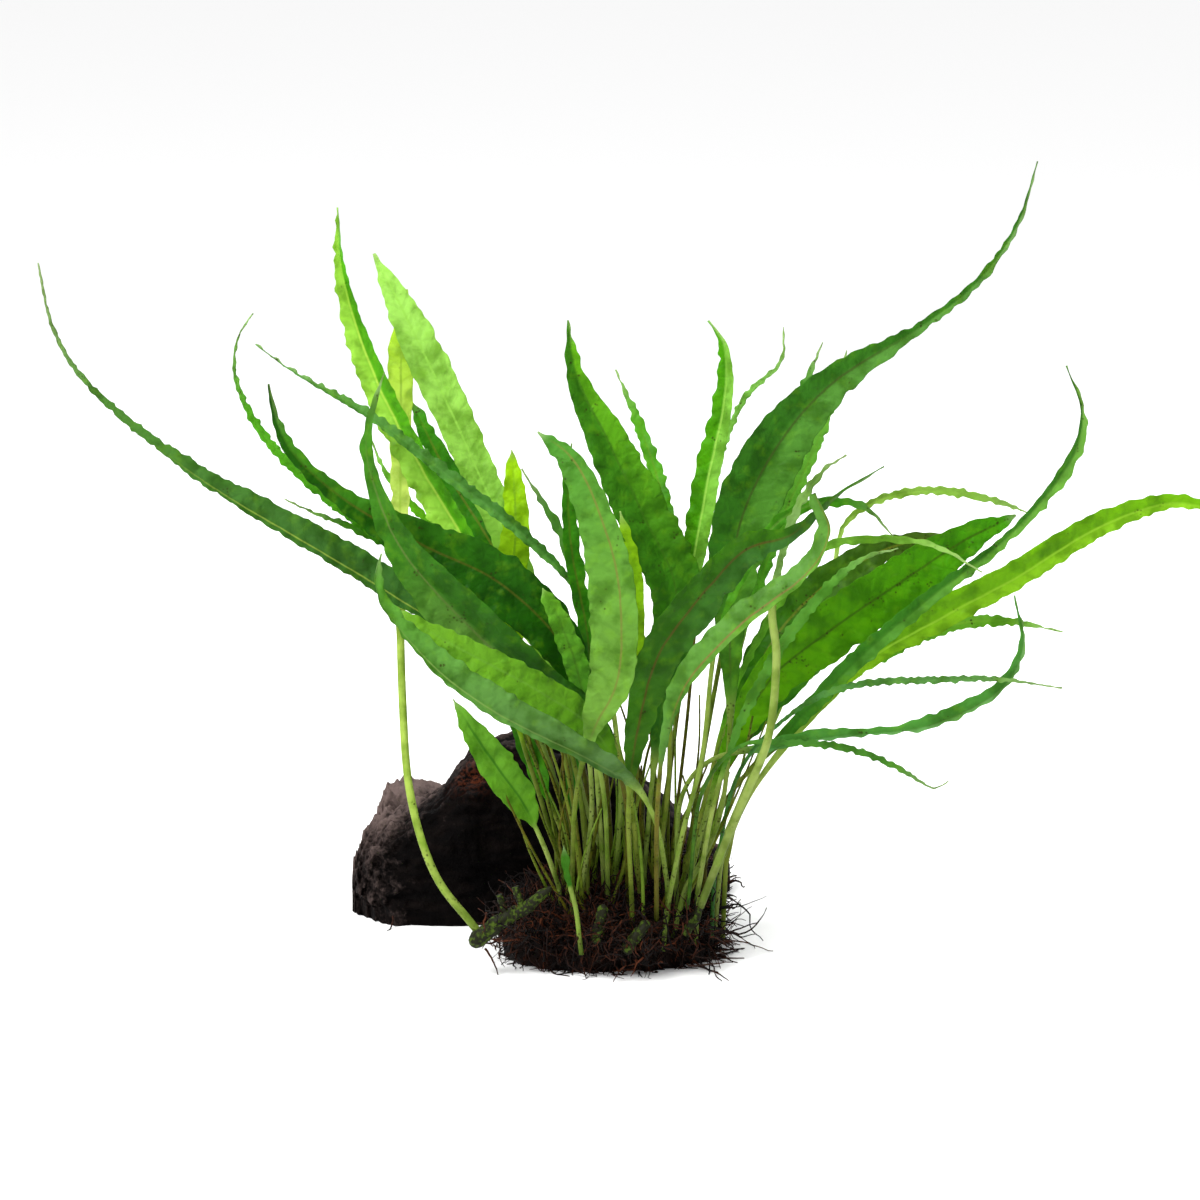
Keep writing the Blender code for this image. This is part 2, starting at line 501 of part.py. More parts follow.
def main():
    for old in list(bpy.data.objects):
        bpy.data.objects.remove(old)
    plant = bpy.data.collections.new("java_fern_on_driftwood")
    cutters = bpy.data.collections.new("cutters")
    bpy.context.scene.collection.children.link(plant)
    bpy.context.scene.collection.children.link(cutters)
    build_wood("driftwood_trunk", TRUNK, plant, WOOD_DARK)
    build_wood("driftwood_knob", KNOB, plant, WOOD_WORN)
    build_wood("driftwood_right_end", RIGHT_END, plant, WOOD_RED)
    build_root_mat(plant)
    for rhizome in RHIZOMES:
        build_rhizome(rhizome, plant, cutters)
    for frond, line in zip(FRONDS, slide_apart(FRONDS)):
        build_frond(frond, line, plant)


main()
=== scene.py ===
"""Looks of a java fern grown on driftwood.

Every size is in millimetres and is turned into metres as a mesh is made. Each frond follows
the same route as its solid, and crossing fronds slide past each other in depth by
the same rule, so the leaves lie where the solids do.
"""

import itertools
import json
import logging
from collections.abc import Callable
from dataclasses import dataclass, field
from enum import Enum
from functools import partial

import bpy
import numpy as np
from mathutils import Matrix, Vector


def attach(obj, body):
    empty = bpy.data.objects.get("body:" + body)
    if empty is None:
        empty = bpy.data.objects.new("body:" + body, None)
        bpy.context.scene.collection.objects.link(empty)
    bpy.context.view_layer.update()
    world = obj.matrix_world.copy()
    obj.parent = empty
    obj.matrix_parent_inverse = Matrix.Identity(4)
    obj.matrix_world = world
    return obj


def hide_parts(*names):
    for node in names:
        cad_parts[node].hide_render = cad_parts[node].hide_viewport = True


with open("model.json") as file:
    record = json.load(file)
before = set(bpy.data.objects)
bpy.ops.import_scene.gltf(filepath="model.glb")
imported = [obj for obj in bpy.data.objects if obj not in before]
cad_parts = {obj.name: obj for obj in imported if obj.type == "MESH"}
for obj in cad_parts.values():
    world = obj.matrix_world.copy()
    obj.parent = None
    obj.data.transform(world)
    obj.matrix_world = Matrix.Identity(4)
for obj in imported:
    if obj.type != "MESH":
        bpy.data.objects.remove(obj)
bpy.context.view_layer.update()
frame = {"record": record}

LOG = logging.getLogger("java_fern")
MM = 0.001
BODY = "root"

SAMPLES = 48  # points along each frond's line
STALK_RADIUS = 1.05  # of the solids; the looks' own radii are in Habit
BLADE_HALF_THICKNESS = 0.45
TIP_HALF_WIDTH = 0.4
CLEARANCE = 1.1  # left between fronds that cross
FACE_SLOPE = 0.21  # how much higher a point looks for each mm that it lies further back
CROWDING_ROUNDS = 140
SLIDE_SPREAD = 3.0  # points along a line over which a slide dies down
SLIDE_STEP = 0.25  # share of what is short that a frond slides in one round
BLADE_RISE = 0.75  # power by which a blade widens
FLATTENING = 5.0  # how soon a stalk turns flat
FACE_TILT = 0.12  # how far the blades' faces look up
WOOD_FRONT = -15.0  # below WOOD_TOP no frond goes further back than this
WOOD_TOP = 52.0
ROOTING_GAP = 1.0  # height of a frond's foot over the mat

MAT_CENTRE = (17.0, -36.5)
MAT_REACH = (30.0, 24.2)
MAT_HEIGHT = 16.0
MAT_SQUARENESS = 0.35


class Tone(Enum):
    """Greens that the fronds grow in: leaf colour, tip colour and midrib colour."""

    DARK = ("#2c6a10", "#4f9a28", "#5a5a1c")
    MID = ("#3f8e12", "#68b432", "#6f7a22")
    BRIGHT = ("#62b01c", "#98d83c", "#a8c83c")
    YELLOW = ("#8fce1c", "#b0e034", "#6f9a1c")
    GREY = ("#4f8c42", "#6fb450", "#76702c")
    PALE = ("#9cc45c", "#a8d468", "#b4cc70")
    BROWN = ("#84701c", "#7a6a1a", "#6a4a14")


@dataclass(frozen=True)
class Habit:
    """How one blade is bent, ruffled and marked, with painted light and shade on one half where it is
    folded.
    """

    fold: float = 12.0  # degrees that each half stands off flat
    ruffle: float = 0.6  # how far the margin waves out of the face
    wave: float = 9.0  # distance between two waves
    twist: float = 0.0  # degrees that the face turns from blade base to tip
    stalk: float = 0.6  # radius of the stalk
    spots: float = 0.35  # share of the brown flecks that show
    lean: float = 0.0  # share of the half-width by which the midrib sits off the middle
    leaf: str = ""
    tip: str = ""
    rib: str = ""
    half: str = ""  # painted light and shade: colour of the half beyond the midrib, where the fold turns it towards the light on some fronds and away on others
    half_to: float = 1.3  # share of the blade where that colour has faded out
    stem: str = ""  # colour of the stalk, where it is not one of STALK_GREENS


@dataclass
class Frond:
    """A frond: its tone, widest blade width, blade shape, turn and route."""

    name: str
    tone: Tone
    width: float
    start: float
    tail: float
    turn: float
    route: list[tuple[float, float, float]]
    widths: tuple[float, ...] = ()


STALK_GREENS = ("#93ab4c", "#6f7f2c", "#a4b85c", "#87963a", "#665f22")
STALK_FLECKS = (0.1, 0.6, 0.3)  # extra brown flecks on the stalks, taken in turn

HABITS = {
    "frond_far_left": Habit(fold=18, ruffle=0.5, wave=4.6, lean=-0.75, leaf="#386828", tip="#4f8030",
                            rib="#94ac44"),
    "frond_left_stalk": Habit(fold=4, ruffle=0.3, stalk=1.0, spots=0.1, leaf="#b8cc60", tip="#9cc808",
                              rib="#7fa02c", stem="#a0b850"),
    "frond_left_broad": Habit(fold=8, ruffle=0.35, spots=0.0, leaf="#84b840", tip="#98cc58", rib="#8cc048"),
    "frond_left_tall": Habit(fold=36, ruffle=0.6, wave=6, spots=0.1, leaf="#54a010", tip="#50a014",
                             rib="#a8cc48", half="#90c440"),
    "frond_left_hidden": Habit(leaf="#2f780a", tip="#409012"),
    "frond_left_crinkled": Habit(fold=26, ruffle=1.3, wave=4.4, twist=60, leaf="#2f641c", tip="#5c9440",
                                 rib="#5c8c44", half="#4c8434"),
    "frond_left_hook": Habit(fold=20, ruffle=0.7, wave=4.2, twist=40, leaf="#3f8c10", tip="#58a424"),
    "frond_left_upper_dark": Habit(fold=10, ruffle=0.6, wave=12, leaf="#124c02", tip="#3f8018",
                                   rib="#4c5414", half="#1c5404"),
    "frond_left_lower_dark": Habit(fold=24, ruffle=0.5, wave=13, twist=-30, spots=0.5, lean=-0.2,
                                   leaf="#265c0a", tip="#3f7c1c", rib="#5c7434", half="#64903c",
                                   half_to=0.62),
    "frond_left_bright": Habit(fold=10, ruffle=0.5, spots=0.2, leaf="#5c9818", tip="#689c28",
                               rib="#64982c"),
    "frond_front_low": Habit(fold=30, ruffle=0.5, wave=9, twist=50, spots=0.2, lean=-0.8, leaf="#587c44",
                             tip="#58982c", rib="#7c9c4c"),
    "frond_centre_pale": Habit(fold=9, ruffle=0.5, wave=8, spots=0.3, lean=0.3, leaf="#6c9838",
                               tip="#44842a", rib="#747434"),
    "frond_centre_slim": Habit(fold=20, leaf="#2c7006", tip="#388010"),
    "frond_yellow_short": Habit(fold=6, ruffle=0.3, spots=0.0, leaf="#8cbc1c", tip="#94c408"),
    "frond_yellow_strip": Habit(fold=6, ruffle=0.4, spots=0.0, leaf="#7cac10", tip="#84b810"),
    "frond_centre_tall": Habit(fold=20, ruffle=0.5, wave=9, lean=0.1, leaf="#276010", tip="#68b018",
                               rib="#3c6c14", half="#3c7c14"),
    "frond_centre_spike": Habit(ruffle=0.6, wave=5.2, leaf="#3c8410", tip="#58a020"),
    "frond_right_upright": Habit(fold=26, ruffle=0.6, wave=7, leaf="#6fac34", tip="#84bc48",
                                 rib="#98c850", half="#4c9808"),
    "frond_right_tendril": Habit(fold=10, wave=4.5, stalk=0.45, leaf="#6ca03c", tip="#7cb850"),
    "frond_right_long": Habit(fold=14, ruffle=0.55, wave=8, spots=0.35, leaf="#447c1c", tip="#5c9044",
                              rib="#3c4c1c", half="#336e18"),
    "frond_front_dark": Habit(fold=12, ruffle=0.55, wave=11, twist=55, leaf="#36680a", tip="#447c38",
                              rib="#5c481c", half="#3a740e"),
    "frond_front_fold": Habit(fold=22, ruffle=0.45, wave=9, twist=-40, lean=0.45, leaf="#44702a",
                              tip="#6ca038", rib="#7c5c34", half="#568834"),
    "frond_right_arch": Habit(fold=16, spots=0.1, leaf="#4c901c", tip="#30780c"),
    "frond_right_stalk": Habit(wave=5, stalk=1.0, spots=0.1, leaf="#78a054", tip="#789c54", stem="#a0b45c"),
    "frond_pale_arch": Habit(fold=16, ruffle=0.4, wave=5.0, spots=0.1, leaf="#98bc50", tip="#7cac40",
                             stem="#a8c060"),
    "frond_green_arch": Habit(fold=18, spots=0.1, leaf="#4c9014", tip="#84b844"),
    "frond_back_broad": Habit(spots=0.8, leaf="#2c7404", tip="#48601c"),
    "frond_mid_broad": Habit(fold=14, ruffle=0.6, wave=9, spots=0.8, leaf="#5a9c02", tip="#3f8c0a",
                             rib="#38540c"),
    "frond_dark_twist": Habit(fold=30, ruffle=0.6, wave=8, twist=60, leaf="#2c6c12", tip="#7cb848",
                              rib="#2c5c14", half="#3a7c1c"),
    "frond_right_bright": Habit(fold=14, ruffle=0.6, wave=7, spots=0.1, lean=0.25, leaf="#78ac14",
                                tip="#88c024", rib="#90c030", half="#6ca80c"),
    "frond_right_shy": Habit(wave=4.4, leaf="#589c1c", tip="#70ac30"),
    "frond_right_thread": Habit(wave=4, stalk=0.5, leaf="#447c38", tip="#5c8c44", stem="#447c38"),
    "frond_low_curl": Habit(fold=24, ruffle=0.6, wave=8, twist=50, spots=0.5, lean=0.6, leaf="#508c44",
                            tip="#70a458", rib="#3f4c12", half="#4a8c34"),
    "frond_low_thread": Habit(wave=4, twist=50, stalk=0.5, leaf="#447c2c", tip="#447c24", stem="#507c2c"),
    "frond_small_bright": Habit(fold=14, ruffle=0.7, wave=10, spots=0.2, leaf="#64a024", tip="#74b434",
                                rib="#2f6c10"),
    "frond_small_inner": Habit(spots=1.0, leaf="#3f840c", tip="#38800c", rib="#5c5c10"),
    "frond_centre_low": Habit(fold=8, ruffle=0.3, leaf="#3c8420", tip="#387c20"),
    "frond_old_stalk": Habit(spots=1.0, stem="#7c6c14"),
    "frond_right_narrow": Habit(wave=4.8, leaf="#589434", tip="#5c9c34"),
    "frond_left_sliver": Habit(wave=4.2, leaf="#589c10", tip="#60ac18"),
    "frond_left_low_sliver": Habit(wave=4.5, stalk=0.6, leaf="#3c7c14", tip="#3c7c14"),
    "frond_right_spike": Habit(wave=4.8, leaf="#3c8410", tip="#3c8410"),
    "frond_right_nub": Habit(wave=4.8, leaf="#4c941c", tip="#6ca83c"),
    "frond_new_shoot": Habit(fold=10, ruffle=0.3, spots=0.1, leaf="#2f6410", tip="#3c7418", stem="#8ca448"),
    "frond_left_small": Habit(fold=10, ruffle=0.4, wave=6, spots=0.2, leaf="#3c8418", tip="#6cac30",
                              rib="#4c7c20"),
    "frond_centre_thread": Habit(leaf="#5c9c34", tip="#2c5c14", spots=0.1),
}

FRONDS = [
    Frond("frond_far_left", Tone.GREY, 7.0, 0.30, 1.1, 12,
          [(8, -30, 24), (3, -34, 46), (-10, -38, 75), (-34, -42, 94), (-57, -46, 109), (-78, -50, 122),
           (-97, -53, 136), (-111, -56, 150), (-118, -58, 163), (-121, -60, 179)],
          (0, 0, 3.5, 7, 7, 5, 2.4, 1.5, 1.2, 0.8)),
    Frond("frond_left_stalk", Tone.BRIGHT, 7.0, 0.60, 0.6, -15,
          [(-16, -58, 12), (-26, -55, 25), (-32, -51, 44), (-34, -46, 67), (-35, -32, 98), (-35, -22, 115),
           (-35, -14, 131), (-35, -6, 148), (-34, 0, 163)],
          (0, 0, 0, 0, 3.8, 4.8, 5.5, 7, 1.5)),
    Frond("frond_left_broad", Tone.BRIGHT, 9.5, 0.35, 0.7, 20,
          [(17, -32, 20), (11, -34, 39), (5, -35, 67), (-6, -30, 99), (-20, -20, 130), (-32, -10, 154),
           (-42, 0, 172)],
          (0, 0, 3, 7, 9.5, 9.5, 1.2)),
    Frond("frond_left_tall", Tone.BRIGHT, 8.0, 0.30, 1.0, -25,
          [(8, -38, 17), (8, -41, 43), (3, -44, 72), (-10, -42, 94), (-22, -38, 112), (-35, -33, 134),
           (-44, -28, 154), (-49, -25, 172), (-50, -22, 187)],
          (0, 0, 0, 4, 8, 8, 6.5, 3.2, 0.8)),
    Frond("frond_left_hidden", Tone.MID, 8.0, 0.40, 0.8, 15,
          [(14, -27, 21), (9, -26, 55), (1, -22, 76), (-12, -12, 99), (-24, 0, 116), (-34, 12, 134)]),
    Frond("frond_left_crinkled", Tone.GREY, 3.4, 0.40, 0.9, 10,
          [(19, -39, 18), (20, -45, 48), (16, -49, 78), (9, -49, 96), (-5, -46, 110), (-21, -43, 122),
           (-41, -40, 137), (-60, -38, 148), (-70, -36, 155)]),
    Frond("frond_left_hook", Tone.MID, 3.2, 0.45, 0.8, -10,
          [(12, -38, 20), (9, -46, 49), (0, -52, 76), (-25, -56, 100), (-49, -58, 119), (-65, -60, 134),
           (-73, -61, 149), (-73, -62, 160), (-69, -62, 167)],
          (0, 0, 0, 2.4, 3.2, 2.4, 1.4, 0.9, 0.7)),
    Frond("frond_left_upper_dark", Tone.DARK, 14.0, 0.30, 1.5, 15,
          [(10, -46, 15), (13, -53, 43), (10, -60, 70), (5, -63, 86), (-10, -64, 101), (-28, -64, 110),
           (-46, -66, 121), (-58, -68, 132), (-63, -69, 141), (-65, -70, 151)],
          (0, 0, 2.5, 11, 14, 12, 5.5, 3.5, 2.4, 0.8)),
    Frond("frond_left_lower_dark", Tone.DARK, 14.5, 0.30, 1.3, -12,
          [(25, -43, 19), (22, -57, 47), (15, -68, 66), (0, -73, 78), (-18, -77, 96), (-32, -77, 112),
           (-39, -75, 127), (-41, -72, 139), (-37, -70, 154)],
          (0, 0, 3, 11, 14.5, 10, 5, 3.2, 0.8)),
    Frond("frond_left_bright", Tone.BRIGHT, 8.5, 0.35, 0.9, 20,
          [(22, -46, 18), (21, -64, 48), (14, -76, 66), (0, -83, 78), (-19, -85, 89), (-38, -84, 100)]),
    Frond("frond_front_low", Tone.GREY, 7.0, 0.38, 1.0, -10,
          [(32, -48, 19), (29, -66, 40), (23, -82, 55), (12, -91, 65), (-8, -96, 77), (-23, -97, 88),
           (-35, -98, 101), (-38, -98, 109), (-37, -98, 115)],
          (0, 0.5, 1.8, 5, 7, 6.2, 3.2, 2.6, 0.9)),
    Frond("frond_centre_pale", Tone.GREY, 12.0, 0.40, 0.8, -15,
          [(8, -50, 17), (9, -68, 47), (13, -80, 68), (18, -81, 82), (18, -82, 103), (14, -80, 120),
           (8, -77, 133), (0, -74, 140)],
          (0, 0, 3, 10.5, 12, 9.5, 6.5, 1)),
    Frond("frond_centre_slim", Tone.DARK, 4.8, 0.40, 0.7, 25,
          [(16, -40, 19), (14, -50, 52), (12, -54, 84), (8, -52, 106), (7, -48, 123), (8, -46, 132)]),
    Frond("frond_yellow_short", Tone.YELLOW, 8.0, 0.35, 0.6, 10,
          [(6, -34, 19), (0, -40, 41), (-6, -42, 63), (-8, -42, 86), (-6, -36, 108), (-7, -28, 127)]),
    Frond("frond_centre_thread", Tone.MID, 2.6, 0.50, 0.8, 0,
          [(18, -28, 22), (16, -24, 49), (12, -14, 75), (6, -2, 98), (-5, 10, 115)]),
    Frond("frond_centre_tall", Tone.DARK, 14.0, 0.38, 1.0, 20,
          [(26, -40, 20), (28, -44, 46), (31, -46, 74), (33, -45, 95), (25, -42, 113), (16, -39, 132),
           (9, -37, 147), (7, -36, 161)],
          (0, 0, 7, 13, 14, 10.5, 5.2, 0.8)),
    Frond("frond_centre_spike", Tone.MID, 4.0, 0.45, 0.8, 10,
          [(29, -28, 22), (34, -24, 55), (36, -14, 83), (31, -2, 109), (26, 8, 124), (19, 14, 140)]),
    Frond("frond_yellow_strip", Tone.YELLOW, 5.0, 0.45, 0.6, -10,
          [(22, -29, 22), (24, -36, 55), (24, -42, 79), (23, -44, 100), (20, -46, 115)]),
    Frond("frond_right_upright", Tone.BRIGHT, 7.0, 0.40, 0.8, -25,
          [(29, -42, 18), (32, -40, 43), (33, -37, 65), (37, -34, 92), (42, -30, 120), (46, -27, 139),
           (46, -25, 152), (42, -24, 159)]),
    Frond("frond_right_tendril", Tone.MID, 1.6, 0.50, 0.5, 0,
          [(33, -29, 23), (37, -20, 56), (40, -4, 86), (43, 6, 109), (51, 14, 131), (61, 18, 141),
           (62, 20, 150)]),
    Frond("frond_right_long", Tone.DARK, 15.5, 0.32, 1.8, 12,
          [(34, -52, 16), (44, -55, 37), (47, -58, 62), (47, -56, 89), (49, -53, 112), (58, -49, 131),
           (72, -46, 147), (93, -43, 160), (107, -42, 171), (117, -41, 185), (122, -40, 201)],
          (0, 0, 0, 6, 14, 15.5, 10, 3, 2.2, 1.6, 0.7)),
    Frond("frond_right_spike", Tone.MID, 4.2, 0.45, 0.8, -15,
          [(37, -29, 22), (42, -25, 54), (50, -21, 95), (59, -15, 120), (66, -11, 139), (71, -9, 151)]),
    Frond("frond_right_nub", Tone.MID, 3.6, 0.45, 0.8, 15,
          [(40, -33, 21), (45, -22, 46), (51, -10, 74), (61, 0, 103), (71, 8, 124), (78, 14, 145)]),
    Frond("frond_front_dark", Tone.DARK, 12.0, 0.30, 1.5, 10,
          [(23, -54, 15), (22, -70, 46), (24, -79, 67), (29, -81, 86), (38, -79, 99), (50, -75, 111),
           (61, -71, 114), (72, -68, 123), (84, -66, 130)],
          (0, 0, 5.5, 11, 12, 9, 4.5, 1.7, 0.9)),
    Frond("frond_front_fold", Tone.GREY, 6.4, 0.35, 0.9, -20,
          [(29, -55, 16), (29, -78, 48), (31, -92, 70), (36, -96, 85), (49, -96, 99), (64, -94, 110),
           (69, -92, 119), (66, -90, 128)],
          (0, 0, 2.6, 5.6, 6.4, 5.4, 5.4, 3)),
    Frond("frond_right_arch", Tone.PALE, 3.0, 0.55, 0.8, 0,
          [(31, -60, 13), (35, -66, 37), (40, -71, 59), (43, -71, 86), (49, -67, 102), (57, -62, 114),
           (67, -58, 119), (79, -54, 118), (87, -52, 110)]),
    Frond("frond_right_stalk", Tone.PALE, 2.2, 0.70, 0.8, 0,
          [(41, -47, 18), (49, -60, 42), (56, -70, 63), (58, -70, 83), (57, -69, 97), (62, -65, 117),
           (69, -63, 128), (75, -62, 132)]),
    Frond("frond_pale_arch", Tone.PALE, 2.2, 0.60, 0.5, 0,
          [(43, -36, 21), (54, -24, 45), (65, -12, 68), (74, -4, 91), (77, 0, 102), (86, 4, 108),
           (100, 7, 110), (115, 10, 107), (125, 12, 103)]),
    Frond("frond_green_arch", Tone.MID, 2.2, 0.30, 0.6, 0,
          [(35, -47, 18), (42, -48, 46), (48, -49, 70), (59, -51, 93), (68, -52, 106), (82, -51, 109),
           (97, -49, 107), (109, -48, 100)]),
    Frond("frond_back_broad", Tone.MID, 9.5, 0.30, 0.8, -20,
          [(41, -38, 20), (47, -29, 50), (57, -21, 74), (70, -14, 88), (86, -8, 97), (103, -3, 101)]),
    Frond("frond_mid_broad", Tone.MID, 14.0, 0.30, 0.8, 15,
          [(37, -41, 18), (45, -40, 48), (57, -38, 70), (72, -34, 82), (90, -31, 94), (106, -28, 104),
           (119, -26, 110)],
          (0, 2, 10, 14, 13.5, 9, 1)),
    Frond("frond_dark_twist", Tone.DARK, 5.0, 0.25, 0.8, -15,
          [(39, -38, 21), (47, -44, 42), (61, -52, 60), (77, -54, 78), (94, -53, 93), (111, -52, 106),
           (122, -51, 117), (131, -50, 130), (133, -50, 141), (129, -50, 152)],
          (0, 0, 2, 4.5, 4.2, 3, 2.6, 4, 2, 0.7)),
    Frond("frond_right_bright", Tone.BRIGHT, 9.5, 0.36, 1.0, 15,
          [(44, -42, 20), (51, -41, 39), (62, -43, 56), (81, -44, 77), (100, -44, 89), (117, -43, 98),
           (137, -41, 110), (154, -40, 116), (165, -40, 115), (172, -40, 111)],
          (0, 0, 1.5, 3.4, 7.8, 7.2, 6.6, 4.4, 2.6, 0.8)),
    Frond("frond_right_shy", Tone.BRIGHT, 3.8, 0.45, 0.9, 10,
          [(46, -38, 20), (52, -31, 42), (66, -26, 60), (85, -22, 73), (102, -19, 80), (117, -17, 81),
           (132, -16, 78)]),
    Frond("frond_right_thread", Tone.GREY, 1.8, 0.40, 0.7, 0,
          [(43, -45, 18), (49, -51, 49), (62, -60, 67), (77, -64, 75), (99, -66, 77), (113, -66, 77),
           (128, -67, 75)]),
    Frond("frond_low_curl", Tone.MID, 4.4, 0.35, 0.8, -20,
          [(34, -45, 19), (35, -49, 42), (42, -52, 53), (55, -54, 57), (70, -57, 61), (87, -60, 63),
           (100, -62, 67), (113, -64, 75), (118, -66, 86), (116, -66, 98)],
          (0, 0, 0, 1.6, 3.4, 1.9, 3.6, 3.1, 2.1, 0.8)),
    Frond("frond_low_thread", Tone.DARK, 1.8, 0.40, 0.7, 0,
          [(37, -50, 18), (40, -58, 46), (49, -66, 60), (62, -70, 62), (76, -72, 61), (87, -74, 57),
           (96, -75, 52), (100, -76, 54)]),
    Frond("frond_small_bright", Tone.MID, 9.0, 0.35, 0.9, 20,
          [(5, -44, 18), (1, -50, 31), (-4, -55, 43), (-10, -60, 53), (-16, -64, 63), (-21, -66, 72)]),
    Frond("frond_small_inner", Tone.MID, 6.5, 0.35, 0.6, -10,
          [(7, -30, 21), (5, -29, 30), (1, -28, 40), (-3, -27, 52), (-6, -26, 62), (-9, -24, 75)]),
    Frond("frond_centre_low", Tone.MID, 4.5, 0.15, 0.5, 10,
          [(10, -34, 17), (8, -37, 39), (8, -39, 55), (11, -43, 71), (15, -46, 87)]),
    Frond("frond_new_shoot", Tone.MID, 2.0, 0.60, 0.5, 0,
          [(10, -63, 10), (9, -62, 18), (7, -62, 26), (6, -62, 34)]),
    Frond("frond_old_stalk", Tone.BROWN, 2.0, 0.90, 0.5, 0,
          [(10, -26, 22), (4, -24, 40), (1, -21, 52), (-1, -19, 62)]),
    Frond("frond_right_narrow", Tone.MID, 2.8, 0.35, 0.7, 10,
          [(39, -51, 17), (43, -57, 43), (48, -61, 61), (53, -62, 73), (61, -62, 87), (72, -60, 100),
           (80, -59, 106), (88, -58, 108)]),
    Frond("frond_right_small", Tone.DARK, 3.4, 0.50, 0.8, 0,
          [(36, -34, 22), (47, -36, 48), (58, -34, 62), (72, -32, 74)]),
    Frond("frond_left_sliver", Tone.BRIGHT, 2.4, 0.50, 0.8, 0,
          [(16, -24, 23), (9, -20, 50), (0, -15, 75), (-14, -10, 92), (-28, -6, 104), (-38, -2, 114),
           (-44, 2, 126)]),
    Frond("frond_left_small", Tone.MID, 6.0, 0.45, 0.5, 15,
          [(17, -44, 18), (16, -56, 45), (12, -64, 67), (9, -66, 81), (5, -67, 92), (1, -67, 100)]),
    Frond("frond_left_low_sliver", Tone.MID, 2.0, 0.50, 0.7, 0,
          [(11, -42, 18), (5, -44, 56), (-10, -50, 83), (-32, -56, 105), (-45, -58, 113), (-54, -60, 117),
           (-62, -61, 121)]),
]

# ---------------------------------------------------------------- shapes


def unit(vectors: np.ndarray) -> np.ndarray:
    """Vectors of length one, along the last axis."""
    return vectors / np.maximum(np.linalg.norm(vectors, axis=-1, keepdims=True), 1e-9)


def lattice_noise(points: np.ndarray, cell: float, seed: float) -> np.ndarray:
    """Smooth noise from -1 to 1.

    Each corner of a cubic lattice gets a hashed value, and a point takes the blend of its
    eight corners, weighted by the smoothstep of its place between them.

    Args:
        points: places, with the coordinates on the last axis.
        cell: size of the lattice, in the points' units.
        seed: picks the lattice's values.

    Returns:
        One value a point.
    """
    place = points / cell + seed * 7.31
    corner = np.floor(place)
    share = place - corner
    share = share * share * (3 - 2 * share)
    total = np.zeros(points.shape[:-1])
    for step in itertools.product((0.0, 1.0), repeat=3):
        mixed = (corner + step) @ np.array([127.1, 311.7, 74.7]) + seed * 19.19
        value = np.abs(np.sin(mixed) * 43758.5453) % 1.0
        weight = np.where(np.array(step) > 0, share, 1 - share).prod(axis=-1)
        total += value * weight
    return total * 2 - 1


def rough_noise(points: np.ndarray, cell: float, seed: float, octaves: int = 4) -> np.ndarray:
    """Layers of lattice noise, each half the size and half the height of the last."""
    layers = [0.5**k * lattice_noise(points, cell * 0.5**k, seed + k) for k in range(octaves)]
    return sum(layers)


def smooth_curve(route: np.ndarray, count: int) -> np.ndarray:
    """Points at equal distances along a Catmull-Rom curve through a route.

    Args:
        route: points as x, y and z, with a width as a fourth column where it is wanted.
        count: how many points to return.

    Returns:
        The points, with as many columns as the route.
    """
    points = np.array(route, float)
    points = np.vstack([2 * points[0] - points[1], points, 2 * points[-1] - points[-2]])
    t = np.linspace(0, 1, 24, endpoint=False)[:, None]
    runs = []
    for a, b, c, d in zip(points[:-3], points[1:-2], points[2:-1], points[3:]):
        bend = 2 * a - 5 * b + 4 * c - d
        runs.append(0.5 * (2 * b + (c - a) * t + bend * t**2 + (3 * b - a - 3 * c + d) * t**3))
    fine = np.vstack(runs + [points[-2][None]])
    along = np.r_[0, np.cumsum(np.linalg.norm(np.diff(fine[:, :3], axis=0), axis=1))]
    wanted = np.linspace(0, along[-1], count)
    return np.stack([np.interp(wanted, along, column) for column in fine.T], axis=1)


